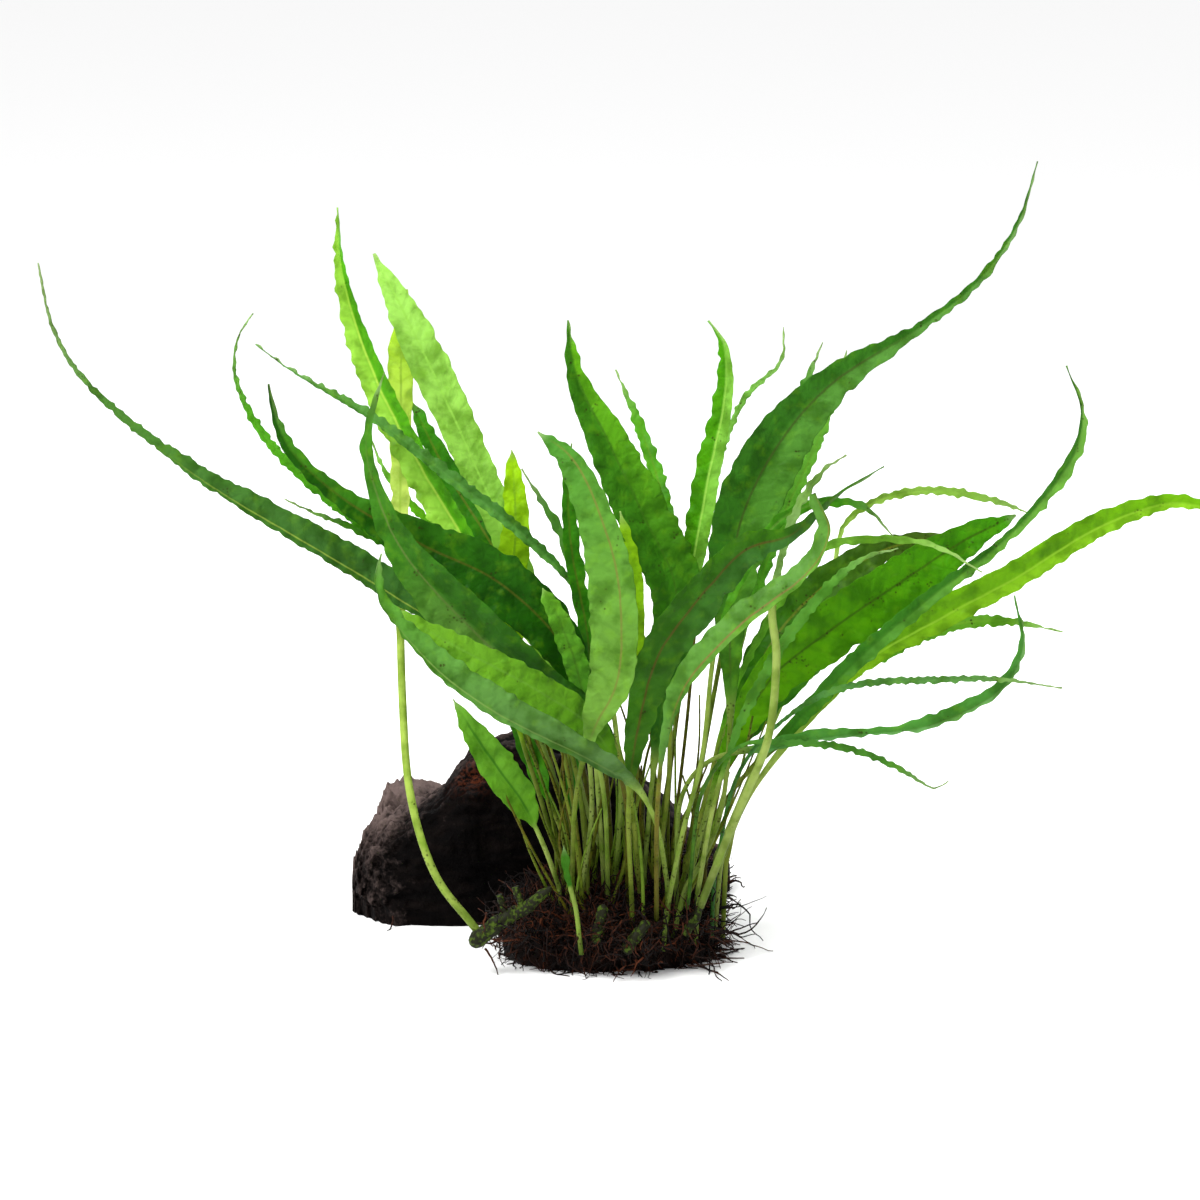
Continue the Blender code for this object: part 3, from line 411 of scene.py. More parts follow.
@dataclass
class Skin:
    """A closed surface: points, four- and three-sided faces, and values kept at each point."""

    points: np.ndarray
    quads: np.ndarray
    tris: np.ndarray
    values: dict[str, np.ndarray] = field(default_factory=dict)

    @staticmethod
    def tubes(rings: np.ndarray, values: dict[str, np.ndarray] | None = None) -> "Skin":
        """Closed tubes from a block of rings.

        Each tube is a grid of rings by points round the ring. Neighbours in both directions
        make the sides, and a fan to the middle of the first and last ring closes each end.

        Args:
            rings: an array of tubes, rings, points round and 3 coordinates.
            values: arrays over tubes, rings and points round, to keep at each point.

        Returns:
            One skin that holds every tube.
        """
        tubes, rows, sides, _ = rings.shape
        body = rings.reshape(-1, 3)
        ends = rings[:, [0, -1]].mean(axis=2).reshape(-1, 3)
        first = (np.arange(tubes) * rows * sides)[:, None, None]
        row = (np.arange(rows - 1) * sides)[None, :, None]
        side = np.arange(sides)[None, None]
        after = (side + 1) % sides
        quads = np.stack([first + row + side, first + row + after, first + row + sides + after,
                          first + row + sides + side], axis=-1).reshape(-1, 4)
        pole = tubes * rows * sides + 2 * np.arange(tubes)[:, None]
        start = first[:, :, 0]
        last = start + (rows - 1) * sides
        side, after = side[0], after[0]
        low = np.stack(np.broadcast_arrays(start + after, start + side, pole), axis=-1)
        high = np.stack(np.broadcast_arrays(last + side, last + after, pole + 1), axis=-1)
        kept = {}
        for name, value in (values or {}).items():
            tail = value.shape[3:]
            caps = value[:, [0, -1]].mean(axis=2).reshape(-1, *tail)
            kept[name] = np.concatenate([value.reshape(-1, *tail), caps])
        tris = np.concatenate([low.reshape(-1, 3), high.reshape(-1, 3)])
        return Skin(np.concatenate([body, ends]), quads, tris, kept).facing_out()

    def facing_out(self) -> "Skin":
        """Turns the faces if the volume that they enclose is negative.

        Returns:
            This skin, or one with every face turned.
        """
        corners = self.points - self.points.mean(axis=0)
        a, b, c, d = (corners[self.quads[:, k]] for k in range(4))
        volume = (a * np.cross(b, c)).sum() + (a * np.cross(c, d)).sum()
        if volume < 0:
            return Skin(self.points, self.quads[:, ::-1], self.tris[:, ::-1], self.values)
        return self

    def joined(self, other: "Skin") -> "Skin":
        """Joins another skin that keeps the same values.

        Args:
            other: the skin to add.

        Returns:
            One skin that holds both.
        """
        shift = len(self.points)
        kept = {k: np.concatenate([v, other.values[k]]) for k, v in self.values.items()}
        return Skin(np.concatenate([self.points, other.points]),
                    np.concatenate([self.quads, other.quads + shift]),
                    np.concatenate([self.tris, other.tris + shift]), kept)

    def build(self, name: str, finish: bpy.types.Material, slot: str,
              stands_for: tuple[str, ...] = ()) -> bpy.types.Object:
        """Makes the skin an object that rides on the plant.

        Args:
            name: the piece's name.
            finish: its material.
            slot: the record's material slot; not used.
            stands_for: the solids that it replaces.

        Returns:
            The new object.
        """
        mesh = bpy.data.meshes.new(name)
        corners = np.concatenate([self.quads.ravel(), self.tris.ravel()]).astype(np.int32)
        sizes = np.r_[np.full(len(self.quads), 4), np.full(len(self.tris), 3)]
        mesh.vertices.add(len(self.points))
        mesh.vertices.foreach_set("co", (self.points * MM).astype(np.float32).ravel())
        mesh.loops.add(len(corners))
        mesh.loops.foreach_set("vertex_index", corners)
        mesh.polygons.add(len(sizes))
        mesh.polygons.foreach_set("loop_start", np.r_[0, np.cumsum(sizes)[:-1]].astype(np.int32))
        mesh.update(calc_edges=True)
        for key, value in self.values.items():
            if value.ndim == 1:
                layer = mesh.attributes.new(key, "FLOAT", "POINT")
                layer.data.foreach_set("value", value.astype(np.float32))
            else:
                layer = mesh.attributes.new(key, "FLOAT_VECTOR", "POINT")
                layer.data.foreach_set("vector", value.astype(np.float32).ravel())
        mesh.validate()
        mesh.shade_smooth()
        mesh.materials.append(finish)
        made = bpy.data.objects.new(name, mesh)
        bpy.context.scene.collection.objects.link(made)
        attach(made, BODY)
        if stands_for:
            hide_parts(*stands_for)
        LOG.info("%s: %d faces", name, len(sizes))
        return made


def round_tubes(lines: np.ndarray, radii: np.ndarray, sides: int) -> np.ndarray:
    """Rings round many lines at once.

    Each ring is a circle in the plane across the line, which is spanned by the cross products
    of the line's direction with a fixed one.

    Args:
        lines: tubes, points along and 3 coordinates.
        radii: tubes and points along.
        sides: points round each ring.

    Returns:
        Rings as Skin.tubes takes them.
    """
    along = unit(np.gradient(lines, axis=1))
    across = unit(np.cross(along, np.array([0.31, 0.17, 0.93])))
    out = np.cross(along, across)
    angle = 2 * np.pi * np.arange(sides) / sides
    circle = (np.cos(angle)[:, None] * across[:, :, None]
              + np.sin(angle)[:, None] * out[:, :, None])
    return lines[:, :, None] + circle * radii[:, :, None, None]


# ---------------------------------------------------------------- colours and shader nodes


def linear(colour: str) -> np.ndarray:
    """The linear colour of an sRGB hex value."""
    value = np.array([int(colour[k:k + 2], 16) for k in (1, 3, 5)]) / 255
    return np.where(value <= 0.04045, value / 12.92, ((value + 0.055) / 1.055) ** 2.4)


def add_node(tree: bpy.types.NodeTree, kind: str, inputs: dict | None = None,
             output: int | str = 0, **settings: object) -> bpy.types.NodeSocket | None:
    """Adds a node with its settings, values and links.

    Args:
        tree: the material's tree.
        kind: the node's type, after its first word ShaderNode.
        inputs: input name or number to a value, a hex colour or the output that feeds it.
        output: name or number of the output that is wanted.
        **settings: the node's own properties.

    Returns:
        That output, or None where the node has none.
    """
    made = tree.nodes.new(f"ShaderNode{kind}")
    for key, value in settings.items():
        setattr(made, key, value)
    for key, value in (inputs or {}).items():
        if isinstance(value, bpy.types.NodeSocket):
            tree.links.new(value, made.inputs[key])
        elif isinstance(value, str):
            made.inputs[key].default_value = (*linear(value), 1)
        else:
            made.inputs[key].default_value = value
    return made.outputs[output] if made.outputs else None


@dataclass(frozen=True)
class Finish:
    """What every finish shares: a name and an empty tree to start from."""

    name: str

    def start(self) -> tuple[bpy.types.Material, Callable[..., bpy.types.NodeSocket | None]]:
        """Starts a material.

        Returns:
            The material with no nodes in it, and add_node for its tree.
        """
        made = bpy.data.materials.new(self.name)
        made.use_nodes = True
        made.node_tree.nodes.clear()
        return made, partial(add_node, made.node_tree)


@dataclass(frozen=True)
class LivingLeaf(Finish):
    """Java fern leaf: a thin, satin skin that lets light through and shows its side veins."""

    vein_gap: float = 4.6  # mm between two side veins
    vein_slant: float = 0.85  # how far a vein runs up the leaf for each mm across it
    vein_warp: float = 3.6  # how far, in mm, noise shifts the veins
    rib_half: float = 0.2  # half the width of the midrib, mm
    fleck_size: float = 0.95  # mm between the brown flecks of old spore spots
    net_size: float = 2.6  # mm across a cell of the net of small veins
    patch_size: float = 6.0  # mm across a dull patch
    fresh_size: float = 3.1  # mm across a fresh patch
    shift_size: float = 5.0  # mm across a change in the veins' shift and in the sheen
    ragged_size: float = 0.7  # mm across the raggedness of a fleck
    group_size: float = 4.0  # mm across a group of flecks
    bump_height: float = 0.0004  # metres
    vein_shown: float = 0.09  # share of its own colour that shows, as in the next two
    rib_shown: float = 0.75
    fleck_shown: float = 0.85
    light_through: float = 0.3
    dull: str = "#9cb060"
    fresh: str = "#7cb414"
    vein_colour: str = "#1c4a06"
    fleck_colour: str = "#2c1d08"
    glow_colour: str = "#98e010"

    def build(self) -> bpy.types.Material:
        """Makes the material: tint, mottling, veins, midrib, flecks, satin skin and glow.

        Returns:
            The leaf's material.
        """
        made, node = self.start()
        place = node("Attribute", output="Vector", attribute_name="place")
        along, across, blade = node("SeparateXYZ", {0: place}).node.outputs
        tint = node("Attribute", output="Color", attribute_name="tint")
        rib = node("Attribute", output="Color", attribute_name="rib")
        spots = node("Attribute", output="Fac", attribute_name="spots")
        point = node("TexCoord", output="Object")
        climbing = {"interpolation_type": "SMOOTHSTEP"}
        mixing = {"output": 2, "data_type": "RGBA"}

        # side veins slant up the leaf from the midrib, and noise shifts them
        far = node("Math", {0: across}, operation="ABSOLUTE")
        run = node("Math", {0: far, 1: -self.vein_slant, 2: along}, operation="MULTIPLY_ADD")
        shift = node("TexNoise", {0: point, "Scale": 1000 / self.shift_size, "Detail": 2.0})
        run = node("Math", {0: shift, 1: self.vein_warp, 2: run}, operation="MULTIPLY_ADD")
        turn = node("Math", {0: run, 1: 2 * np.pi / self.vein_gap}, operation="MULTIPLY")
        wave = node("Math", {0: turn}, operation="SINE")
        vein = node("MapRange", {0: wave, 1: 0.3, 2: 1.0}, **climbing)
        vein = node("Math", {0: vein, 1: blade}, operation="MULTIPLY")
        net = node("TexVoronoi", {0: point, "Scale": 1000 / self.net_size}, "Distance",
                   feature="DISTANCE_TO_EDGE")
        net = node("MapRange", {0: net, 1: 0.0, 2: 0.3}, **climbing)

        # dull patches, fresh patches, veins and midrib
        patch = node("TexNoise", {0: point, "Scale": 1000 / self.patch_size, "Detail": 5.0})
        patch = node("MapRange", {0: patch, 1: 0.42, 2: 0.66, 4: 0.7}, **climbing)
        fresh = node("TexNoise", {0: point, "Scale": 1000 / self.fresh_size, "Detail": 4.0})
        fresh = node("MapRange", {0: fresh, 1: 0.5, 2: 0.72, 4: 0.16}, **climbing)
        dulled = node("Mix", {0: 1.0, 6: tint, 7: self.dull}, blend_type="MULTIPLY", **mixing)
        colour = node("Mix", {0: patch, 6: tint, 7: dulled}, **mixing)
        colour = node("Mix", {0: fresh, 6: colour, 7: self.fresh}, **mixing)
        share = node("Math", {0: vein, 1: self.vein_shown}, operation="MULTIPLY")
        colour = node("Mix", {0: share, 6: colour, 7: self.vein_colour}, **mixing)
        near = node("MapRange", {0: far, 1: self.rib_half * 2.2, 2: self.rib_half * 0.6}, **climbing)
        near = node("Math", {0: near, 1: blade}, operation="MULTIPLY")
        share = node("Math", {0: near, 1: self.rib_shown}, operation="MULTIPLY")
        colour = node("Mix", {0: share, 6: colour, 7: rib}, **mixing)

        # brown flecks with ragged edges, in loose groups
        dot = node("TexVoronoi", {0: point, "Scale": 1000 / self.fleck_size}, "Distance")
        ragged = node("TexNoise", {0: point, "Scale": 1000 / self.ragged_size, "Detail": 2.0})
        dot = node("Math", {0: ragged, 1: 0.5, 2: dot}, operation="MULTIPLY_ADD")
        dot = node("MapRange", {0: dot, 1: 0.66, 2: 0.42}, **climbing)
        group = node("TexNoise", {0: point, "Scale": 1000 / self.group_size, "Detail": 2.0})
        group = node("Math", {0: group, 1: 0.66}, operation="SUBTRACT")
        group = node("Math", {0: spots, 1: 0.3, 2: group}, operation="MULTIPLY_ADD")
        group = node("MapRange", {0: group, 1: 0.0, 2: 0.12}, **climbing)
        dot = node("Math", {0: dot, 1: group}, operation="MULTIPLY")
        share = node("Math", {0: dot, 1: self.fleck_shown}, operation="MULTIPLY")
        colour = node("Mix", {0: share, 6: colour, 7: self.fleck_colour}, **mixing)

        # sunk veins, raised net cells and patches
        height = node("Math", {0: net, 1: 0.45}, operation="MULTIPLY")
        height = node("Math", {0: vein, 1: -0.22, 2: height}, operation="MULTIPLY_ADD")
        height = node("Math", {0: patch, 1: 0.8, 2: height}, operation="MULTIPLY_ADD")
        bump = node("Bump", {"Strength": 0.55, "Distance": self.bump_height, "Height": height})
        rough = node("MapRange", {0: shift, 1: 0.3, 2: 0.7, 4: 0.16}, **climbing)
        rough = node("Math", {0: rough, 1: 0.4}, operation="ADD")
        skin = node("BsdfPrincipled", {"IOR": 1.4, "Specular IOR Level": 0.12, "Base Color": colour,
                                       "Roughness": rough, "Normal": bump})
        glow = node("Mix", {0: 0.25, 6: colour, 7: self.glow_colour}, **mixing)
        glow = node("BsdfTranslucent", {"Color": glow})
        both = node("MixShader", {0: self.light_through, 1: skin, 2: glow})
        node("OutputMaterial", {0: both})
        return made


@dataclass(frozen=True)
class SoakedWood(Finish):
    """Waterlogged driftwood: nearly black, greyed and crumbly where edges have dried and worn, and greyed
    by a painted highlight on its tops.
    """

    dark: str = "#020101"
    brown: str = "#0a0605"
    # grey of dried, worn wood, also painted on the tops as a highlight
    grey: str = "#6c5c58"
    rot: str = "#4a2212"
    fibre: float = 2.2  # mm between wood fibres
    drawn_out: float = 0.22  # scale of the fibres along the log
    pore: float = 0.9  # mm between pores
    bump_height: float = 0.0008  # metres

    def build(self) -> bpy.types.Material:
        """Makes the material: colour by wear, a painted highlight on the tops, and rot, fibres along the
        log, dull skin.

        Returns:
            The wood's material.
        """
        made, node = self.start()
        climbing = {"interpolation_type": "SMOOTHSTEP"}
        mixing = {"output": 2, "data_type": "RGBA"}
        wear = node("Attribute", output="Fac", attribute_name="wear")
        rot = node("Attribute", output="Fac", attribute_name="rot")
        point = node("TexCoord", output="Object")
        drawn = node("Mapping", {"Vector": point, "Scale": (self.drawn_out, 1, 1)})
        fibres = node("TexNoise", {0: drawn, "Scale": 1000 / self.fibre, "Detail": 6.0})
        pores = node("TexNoise", {0: point, "Scale": 1000 / self.pore, "Detail": 4.0})
        share = node("MapRange", {0: fibres, 1: 0.4, 2: 0.75}, **climbing)
        body = node("Mix", {0: share, 6: self.dark, 7: self.brown}, **mixing)
        # grey where the wood is worn, and as a painted highlight where the tops catch the light
        edge = node("Math", {0: pores, 1: 0.7, 2: wear}, operation="MULTIPLY_ADD")
        edge = node("MapRange", {0: edge, 1: 0.6, 2: 1.5, 4: 0.75}, **climbing)
        body = node("Mix", {0: edge, 6: body, 7: self.grey}, **mixing)
        inner = node("MapRange", {0: pores, 1: 0.4, 2: 0.62}, **climbing)
        inner = node("Math", {0: rot, 1: inner}, operation="MULTIPLY")
        body = node("Mix", {0: inner, 6: body, 7: self.rot}, **mixing)
        height = node("Math", {0: pores, 1: 0.6, 2: fibres}, operation="MULTIPLY_ADD")
        bump = node("Bump", {"Strength": 0.8, "Distance": self.bump_height, "Height": height})
        skin = node("BsdfPrincipled", {"Roughness": 0.8, "Specular IOR Level": 0.04,
                                       "Base Color": body, "Normal": bump})
        node("OutputMaterial", {0: skin})
        return made


@dataclass(frozen=True)
class RootFibre(Finish):
    """Fern roots: fine wiry fibres, black-brown with rusty young ones."""

    old: str = "#070302"
    young: str = "#4c2410"
    grain: float = 3.0  # mm across a patch

    def build(self) -> bpy.types.Material:
        """Makes the material: each fibre's age sets its brown, over a fine patchy grain.

        Returns:
            The roots' material.
        """
        made, node = self.start()
        age = node("Attribute", output="Fac", attribute_name="age")
        point = node("TexCoord", output="Object")
        patch = node("TexNoise", {0: point, "Scale": 1000 / self.grain, "Detail": 4.0})
        patch = node("MapRange", {0: patch, 1: 0.3, 2: 0.6}, interpolation_type="SMOOTHSTEP")
        mixed = node("Math", {0: age, 1: patch}, operation="MULTIPLY")
        colour = node("Mix", {0: mixed, 6: self.old, 7: self.young}, 2, data_type="RGBA")
        skin = node("BsdfPrincipled", {"Roughness": 0.7, "Specular IOR Level": 0.12,
                                       "Base Color": colour})
        node("OutputMaterial", {0: skin})
        return made


@dataclass(frozen=True)
class ScalyStem(Finish):
    """Creeping stem: firm olive-green flesh under brown papery scales."""

    flesh: str = "#384a0c"
    scale: str = "#0e0a04"
    scale_size: float = 1.1  # mm across a scale
    bump_height: float = 0.0004  # metres

    def build(self) -> bpy.types.Material:
        """Makes the material: olive flesh broken by scale-sized dark patches.

        Returns:
            The stem's material.
        """
        made, node = self.start()
        point = node("TexCoord", output="Object")
        patch = node("TexNoise", {0: point, "Scale": 1000 / self.scale_size, "Detail": 5.0})
        patch = node("MapRange", {0: patch, 1: 0.36, 2: 0.54, 4: 0.92},
                     interpolation_type="SMOOTHSTEP")
        colour = node("Mix", {0: patch, 6: self.flesh, 7: self.scale}, 2, data_type="RGBA")
        bump = node("Bump", {"Strength": 0.6, "Distance": self.bump_height, "Height": patch})
        skin = node("BsdfPrincipled", {"Roughness": 0.6, "Specular IOR Level": 0.12,
                                       "Base Color": colour, "Normal": bump})
        node("OutputMaterial", {0: skin})
        return made


@dataclass(frozen=True)
class PaleFloor(Finish):
    """Matt white studio floor."""

    white: str = "#f7f7f7"

    def build(self) -> bpy.types.Material:
        """Makes a plain white material.

        Returns:
            The floor's material.
        """
        made, node = self.start()
        node("OutputMaterial", {0: node("BsdfPrincipled", {"Base Color": self.white,
                                                           "Roughness": 0.9})})
        return made


# ---------------------------------------------------------------- fronds


@dataclass
class Fronds:
    """All the fronds: their lines, slid past each other in depth, and their leaf surfaces."""

    fronds: list[Frond]
    sides: int = 28
    stalk_rings: int = 40
    blade_rings: int = 165
    fine_points: int = 500  # points along the line that the rings are read from
    skin_half: float = 0.15  # half the thickness of the blade
    neck: float = 0.7  # how strongly the blade's first fifth is drawn in
    fray: float = 0.34  # how far the margin is nibbled in and out
    crimp: float = 0.035  # share by which a broad margin wanders with the ruffle
    thin_crimp: float = 0.3  # the same, added on a narrow blade
    rib_height: float = 0.34
    rib_width: float = 0.5
    vein_gap: float = 4.6
    swell: float = 0.05  # height of the swellings between side veins
    pillow: float = 0.3  # height of the soft uneven patches
    thin_tip: float = 0.5  # share of its width that a narrow tip loses
    tip_pale: str = "#a8b884"
    sunk: float = 3.5  # how far a stalk goes down into the roots
    lowest: float = 0.4  # no leaf or stalk comes nearer to the ground

    def frame_of(self, turn: np.ndarray, line: np.ndarray) -> tuple[np.ndarray, np.ndarray]:
        """Directions of the blade at each point of its line.

        Args:
            turn: degrees that the face is turned about the vertical, one value or one a point.
            line: points along the frond.

        Returns:
            Directions across the blade and out of its face.
        """
        along = unit(np.gradient(line, axis=0))
        angle = np.radians(np.broadcast_to(turn, len(line)))
        facing = np.stack([np.sin(angle), -np.cos(angle), np.full(len(line), FACE_TILT)], axis=1)
        across = unit(np.cross(along, facing))
        return across, unit(np.cross(across, along))

    def halves(self, frond: Frond, share: np.ndarray, stalk: float,
               neck: float = 0.0) -> tuple[np.ndarray, np.ndarray]:
        """Half the width at each share of the length, and the share of the blade passed.

        The blade widens as a power of the distance from its start and narrows as a power of
        the distance to its tip, scaled so that its widest place has the frond's width. A
        frond with its own widths takes those, eased along its route.

        Args:
            frond: the frond.
            share: shares of the length, from 0 at the foot to 1 at the tip.
            stalk: radius of the stalk.
            neck: above 0, it draws the first fifth of a plain blade in.

        Returns:
            Half the width, and the share of the blade passed.
        """
        u = np.clip((share - frond.start) / (1 - frond.start), 0, 1)
        if frond.widths:
            route = np.column_stack([np.array(frond.route, float), frond.widths])
            eased = smooth_curve(route, SAMPLES)[:, 3] / 2
            blade = np.interp(share, np.linspace(0, 1, SAMPLES), eased)
        else:
            peak = BLADE_RISE / (BLADE_RISE + frond.tail)
            shape = (u / peak) ** BLADE_RISE * ((1 - u) / (1 - peak)) ** frond.tail
            blade = shape * frond.width / 2 * np.clip(u * 5, 0, 1) ** neck
        return np.maximum(stalk + (TIP_HALF_WIDTH - stalk) * u, blade), u

    def lines(self) -> list[np.ndarray]:
        """Finds the fronds' lines, where crossing ones have slid apart in depth.

        Two points crowd each other when they lie within their widths of one another on the
        plant's face and their depths differ by less than their thicknesses and the clearance.

        Returns:
            Points along each frond, from foot to tip.
        """
        lines = [smooth_curve(f.route, SAMPLES) for f in self.fronds]
        share = np.linspace(0, 1, SAMPLES)
        wide, deep = [], []
        for frond, line in zip(self.fronds, lines):
            half_width, u = self.halves(frond, share, STALK_RADIUS)
            thick = STALK_RADIUS + (BLADE_HALF_THICKNESS - STALK_RADIUS) * np.clip(u * FLATTENING, 0, 1)
            across, out = self.frame_of(frond.turn, line)
            wide.append(half_width)
            deep.append(half_width * abs(across[:, 1]) + np.minimum(thick, half_width) * abs(out[:, 1]))
        depth = np.array([line[:, 1] for line in lines])
        face = np.array([np.stack([p[:, 0], p[:, 2] + FACE_SLOPE * p[:, 1]], 1) for p in lines])
        index = np.arange(SAMPLES)
        spread = np.exp(-(((index[:, None] - index[None]) / SLIDE_SPREAD) ** 2))
        pairs = []
        for i, j in itertools.combinations(range(len(lines)), 2):
            apart = np.linalg.norm(face[i][:, None] - face[j][None], axis=2)
            a, b = np.nonzero(apart < wide[i][:, None] + wide[j][None] + CLEARANCE)
            if len(a):
                ahead = 1.0 if (depth[i][a] - depth[j][b]).mean() >= 0 else -1.0
                pairs.append((i, j, a, b, deep[i][a] + deep[j][b] + CLEARANCE, ahead))
        for _ in range(CROWDING_ROUNDS):
            for i, j, a, b, need, ahead in pairs:
                short = need - ahead * (depth[i][a] - depth[j][b])
                push_i = np.zeros(SAMPLES)
                push_j = np.zeros(SAMPLES)
                np.maximum.at(push_i, a, short)
                np.maximum.at(push_j, b, short)
                depth[i] += ahead * SLIDE_STEP * (spread * push_i[None]).max(axis=1)
                depth[j] -= ahead * SLIDE_STEP * (spread * push_j[None]).max(axis=1)
            low = face[:, :, 1] - FACE_SLOPE * depth < WOOD_TOP
            depth = np.where(low, np.minimum(depth, WOOD_FRONT), depth)
        height = face[:, :, 1] - FACE_SLOPE * depth
        foot = mat_height(face[:, 0, 0], depth[:, 0])
        height[:, 0] = np.where(foot > 0, foot + ROOTING_GAP, height[:, 0])
        return [np.stack([face[k][:, 0], depth[k], height[k]], 1) for k in range(len(lines))]

    def margin_noise(self, run: np.ndarray, side: np.ndarray, cell: float, apart: float,
                     row: float, seed: float) -> np.ndarray:
        """Noise along a frond that differs between its two margins.

        Args:
            run: millimetres along the frond, a row a ring.
            side: -1 or 1 for each point round the ring.
            cell: millimetres between two changes.
            apart: how far apart the two margins are read.
            row: picks the frond's own noise.
            seed: picks the lattice's values.

        Returns:
            One value from -1 to 1 for each ring and point.
        """
        place = np.broadcast_arrays(run / cell + side * apart, row, 0.0)
        return lattice_noise(np.stack(place, axis=-1), 1.0, seed)

    def surface(self, frond: Frond, line: np.ndarray, number: int) -> Skin:
        """One frond as a closed skin.

        A ring of points is round on the stalk and flattens to a thin leaf. Across the leaf,
        the height out of its face is the sum of a fold at the midrib, a sine wave that grows
        towards the margin, small swellings between the side veins, and the midrib's ridge
        on the back. Noise along each margin nibbles it in and out.

        Args:
            frond: the frond.
            line: its points, from foot to tip.
            number: its place in the table, which picks its noise.

        Returns:
            The skin, with tint, midrib colour, place on the leaf and share of spots.
        """
        habit = HABITS.get(frond.name, Habit())
        foot = line[0] + unit(line[0] - line[1]) * self.sunk
        foot[2] = max(foot[2], 2.0)
        fine = smooth_curve(np.vstack([foot, line]), self.fine_points)
        share = np.r_[np.linspace(0, frond.start, self.stalk_rings, endpoint=False),
                      np.linspace(frond.start, 1, self.blade_rings)]
        even = np.linspace(0, 1, self.fine_points)
        place = np.stack([np.interp(share, even, column) for column in fine.T], axis=1)
        run = share * np.linalg.norm(np.diff(fine, axis=0), axis=1).sum()
        half, u = self.halves(frond, share, habit.stalk, self.neck)
        thin = np.clip(1.4 - half, 0, 1) * np.clip((u - 0.75) * 4, 0, 1)
        half = half * (1 - self.thin_tip * thin)
        across, out = self.frame_of(frond.turn + habit.twist * u, place)
        angle = 2 * np.pi * np.arange(self.sides) / self.sides
        c, s = np.cos(angle)[None], np.sin(angle)[None]
        run, half, u, thin = run[:, None], half[:, None], u[:, None], thin[:, None]
        leaf = np.clip(np.maximum(u * 9, (half - habit.stalk) / 1.2), 0, 1)
        leaf = leaf * leaf * (3 - 2 * leaf)
        edge, side = abs(c), np.sign(c)

        # the ruffle: a wave along the margin that wanders, swells and dies down
        wander = self.margin_noise(run, side, 9.0, 3.7, number * 1.9, 5.0)
        surge = 0.62 + 0.55 * self.margin_noise(run, side, 14.0, 5.1, number * 2.3, 8.0)
        phase = 2 * np.pi * run / habit.wave + 2.6 * wander + side * (0.8 + number % 3)
        wave = np.sin(phase) * surge + 0.28 * np.sin(2.3 * phase + 1.0)
        lobe = np.sin(1.7 * phase + 0.6)

        # across the leaf: the margin wanders with the ruffle and is nibbled
        crimp = self.crimp + self.thin_crimp * np.exp(-((half / 1.6) ** 2)) * np.clip(u * 3, 0, 1)
        nibble = self.margin_noise(run, side, 1.7, 4.3, number * 2.7, 6.0)
        x = half * c * (1 + leaf * edge**2 * crimp * (wave + 0.7 * lobe))
        x = x + side * leaf * edge**2 * self.fray * np.clip(half / 2, 0.3, 1) * nibble
        off = x - habit.lean * half * (1 - edge**3)

        # out of its face
        flat = self.skin_half * (1 - 0.5 * edge**2) * s
        ridge = self.rib_height * np.exp(-((off / self.rib_width) ** 2)) * np.clip(-s, 0, 1) * (1 - u)
        bent = np.tan(np.radians(habit.fold)) * abs(off) * (0.8 + 0.2 * np.sin(run / 17.0 + number))
        vein = 2 * np.pi * (run - 0.85 * abs(off)) / self.vein_gap + 1.5 * wander
        patch = np.stack(np.broadcast_arrays(run / 3.4, x / 2.6, float(number)), axis=-1)
        soft = self.swell * np.sin(vein) * np.sin(np.pi * edge)
        soft = soft + self.pillow * lattice_noise(patch, 1.0, 3.0) * (1 - edge**4)
        grown = np.clip(half / 4.0, 0.32, 1.0) * leaf
        z = (1 - leaf) * half * s + leaf * (flat - ridge + bent)
        z = z + grown * (habit.ruffle * edge**1.6 * wave + soft)
        ring = place[:, None] + across[:, None] * x[..., None] + out[:, None] * z[..., None]
        ring[..., 2] = np.maximum(ring[..., 2], self.lowest)

        broad = leaf * np.clip((half - 1.2) / 2.0, 0, 1)
        where = np.stack(np.broadcast_arrays(run, off, broad), axis=-1)
        values = {"tint": self.tint(frond, habit, number, share[:, None], u, thin, leaf, off),
                  "rib": np.broadcast_to(linear(habit.rib or frond.tone.value[2]), where.shape),
                  "place": where, "spots": self.spots(habit, number, share[:, None], leaf, off)}
        return Skin.tubes(ring[None], {k: v[None] for k, v in values.items()})

    def tint(self, frond: Frond, habit: Habit, number: int, share: np.ndarray, u: np.ndarray,
             thin: np.ndarray, leaf: np.ndarray, off: np.ndarray) -> np.ndarray:
        """Colour at each point of a frond, from its stalk to its tip, with painted light and shade on one
        half of a folded blade and painted shade at a stalk's foot.

        Args:
            frond: the frond.
            habit: how it is marked.
            number: its place in the table, which picks its stalk's green.
            share: share of the length passed, a row a ring.
            u: share of the blade passed, a row a ring.
            thin: how much of a thin tip each ring is.
            leaf: 0 on the stalk and 1 on the leaf.
            off: millimetres beyond the midrib.

        Returns:
            Linear colours over rings and points.
        """
        base = linear(habit.leaf or frond.tone.value[0])
        tip = linear(habit.tip or frond.tone.value[1])
        climb = (u**1.3)[..., None]
        tint = base * (1 - climb) + tip * climb
        tint = tint + (linear(self.tip_pale) - tint) * (0.6 * thin)[..., None]
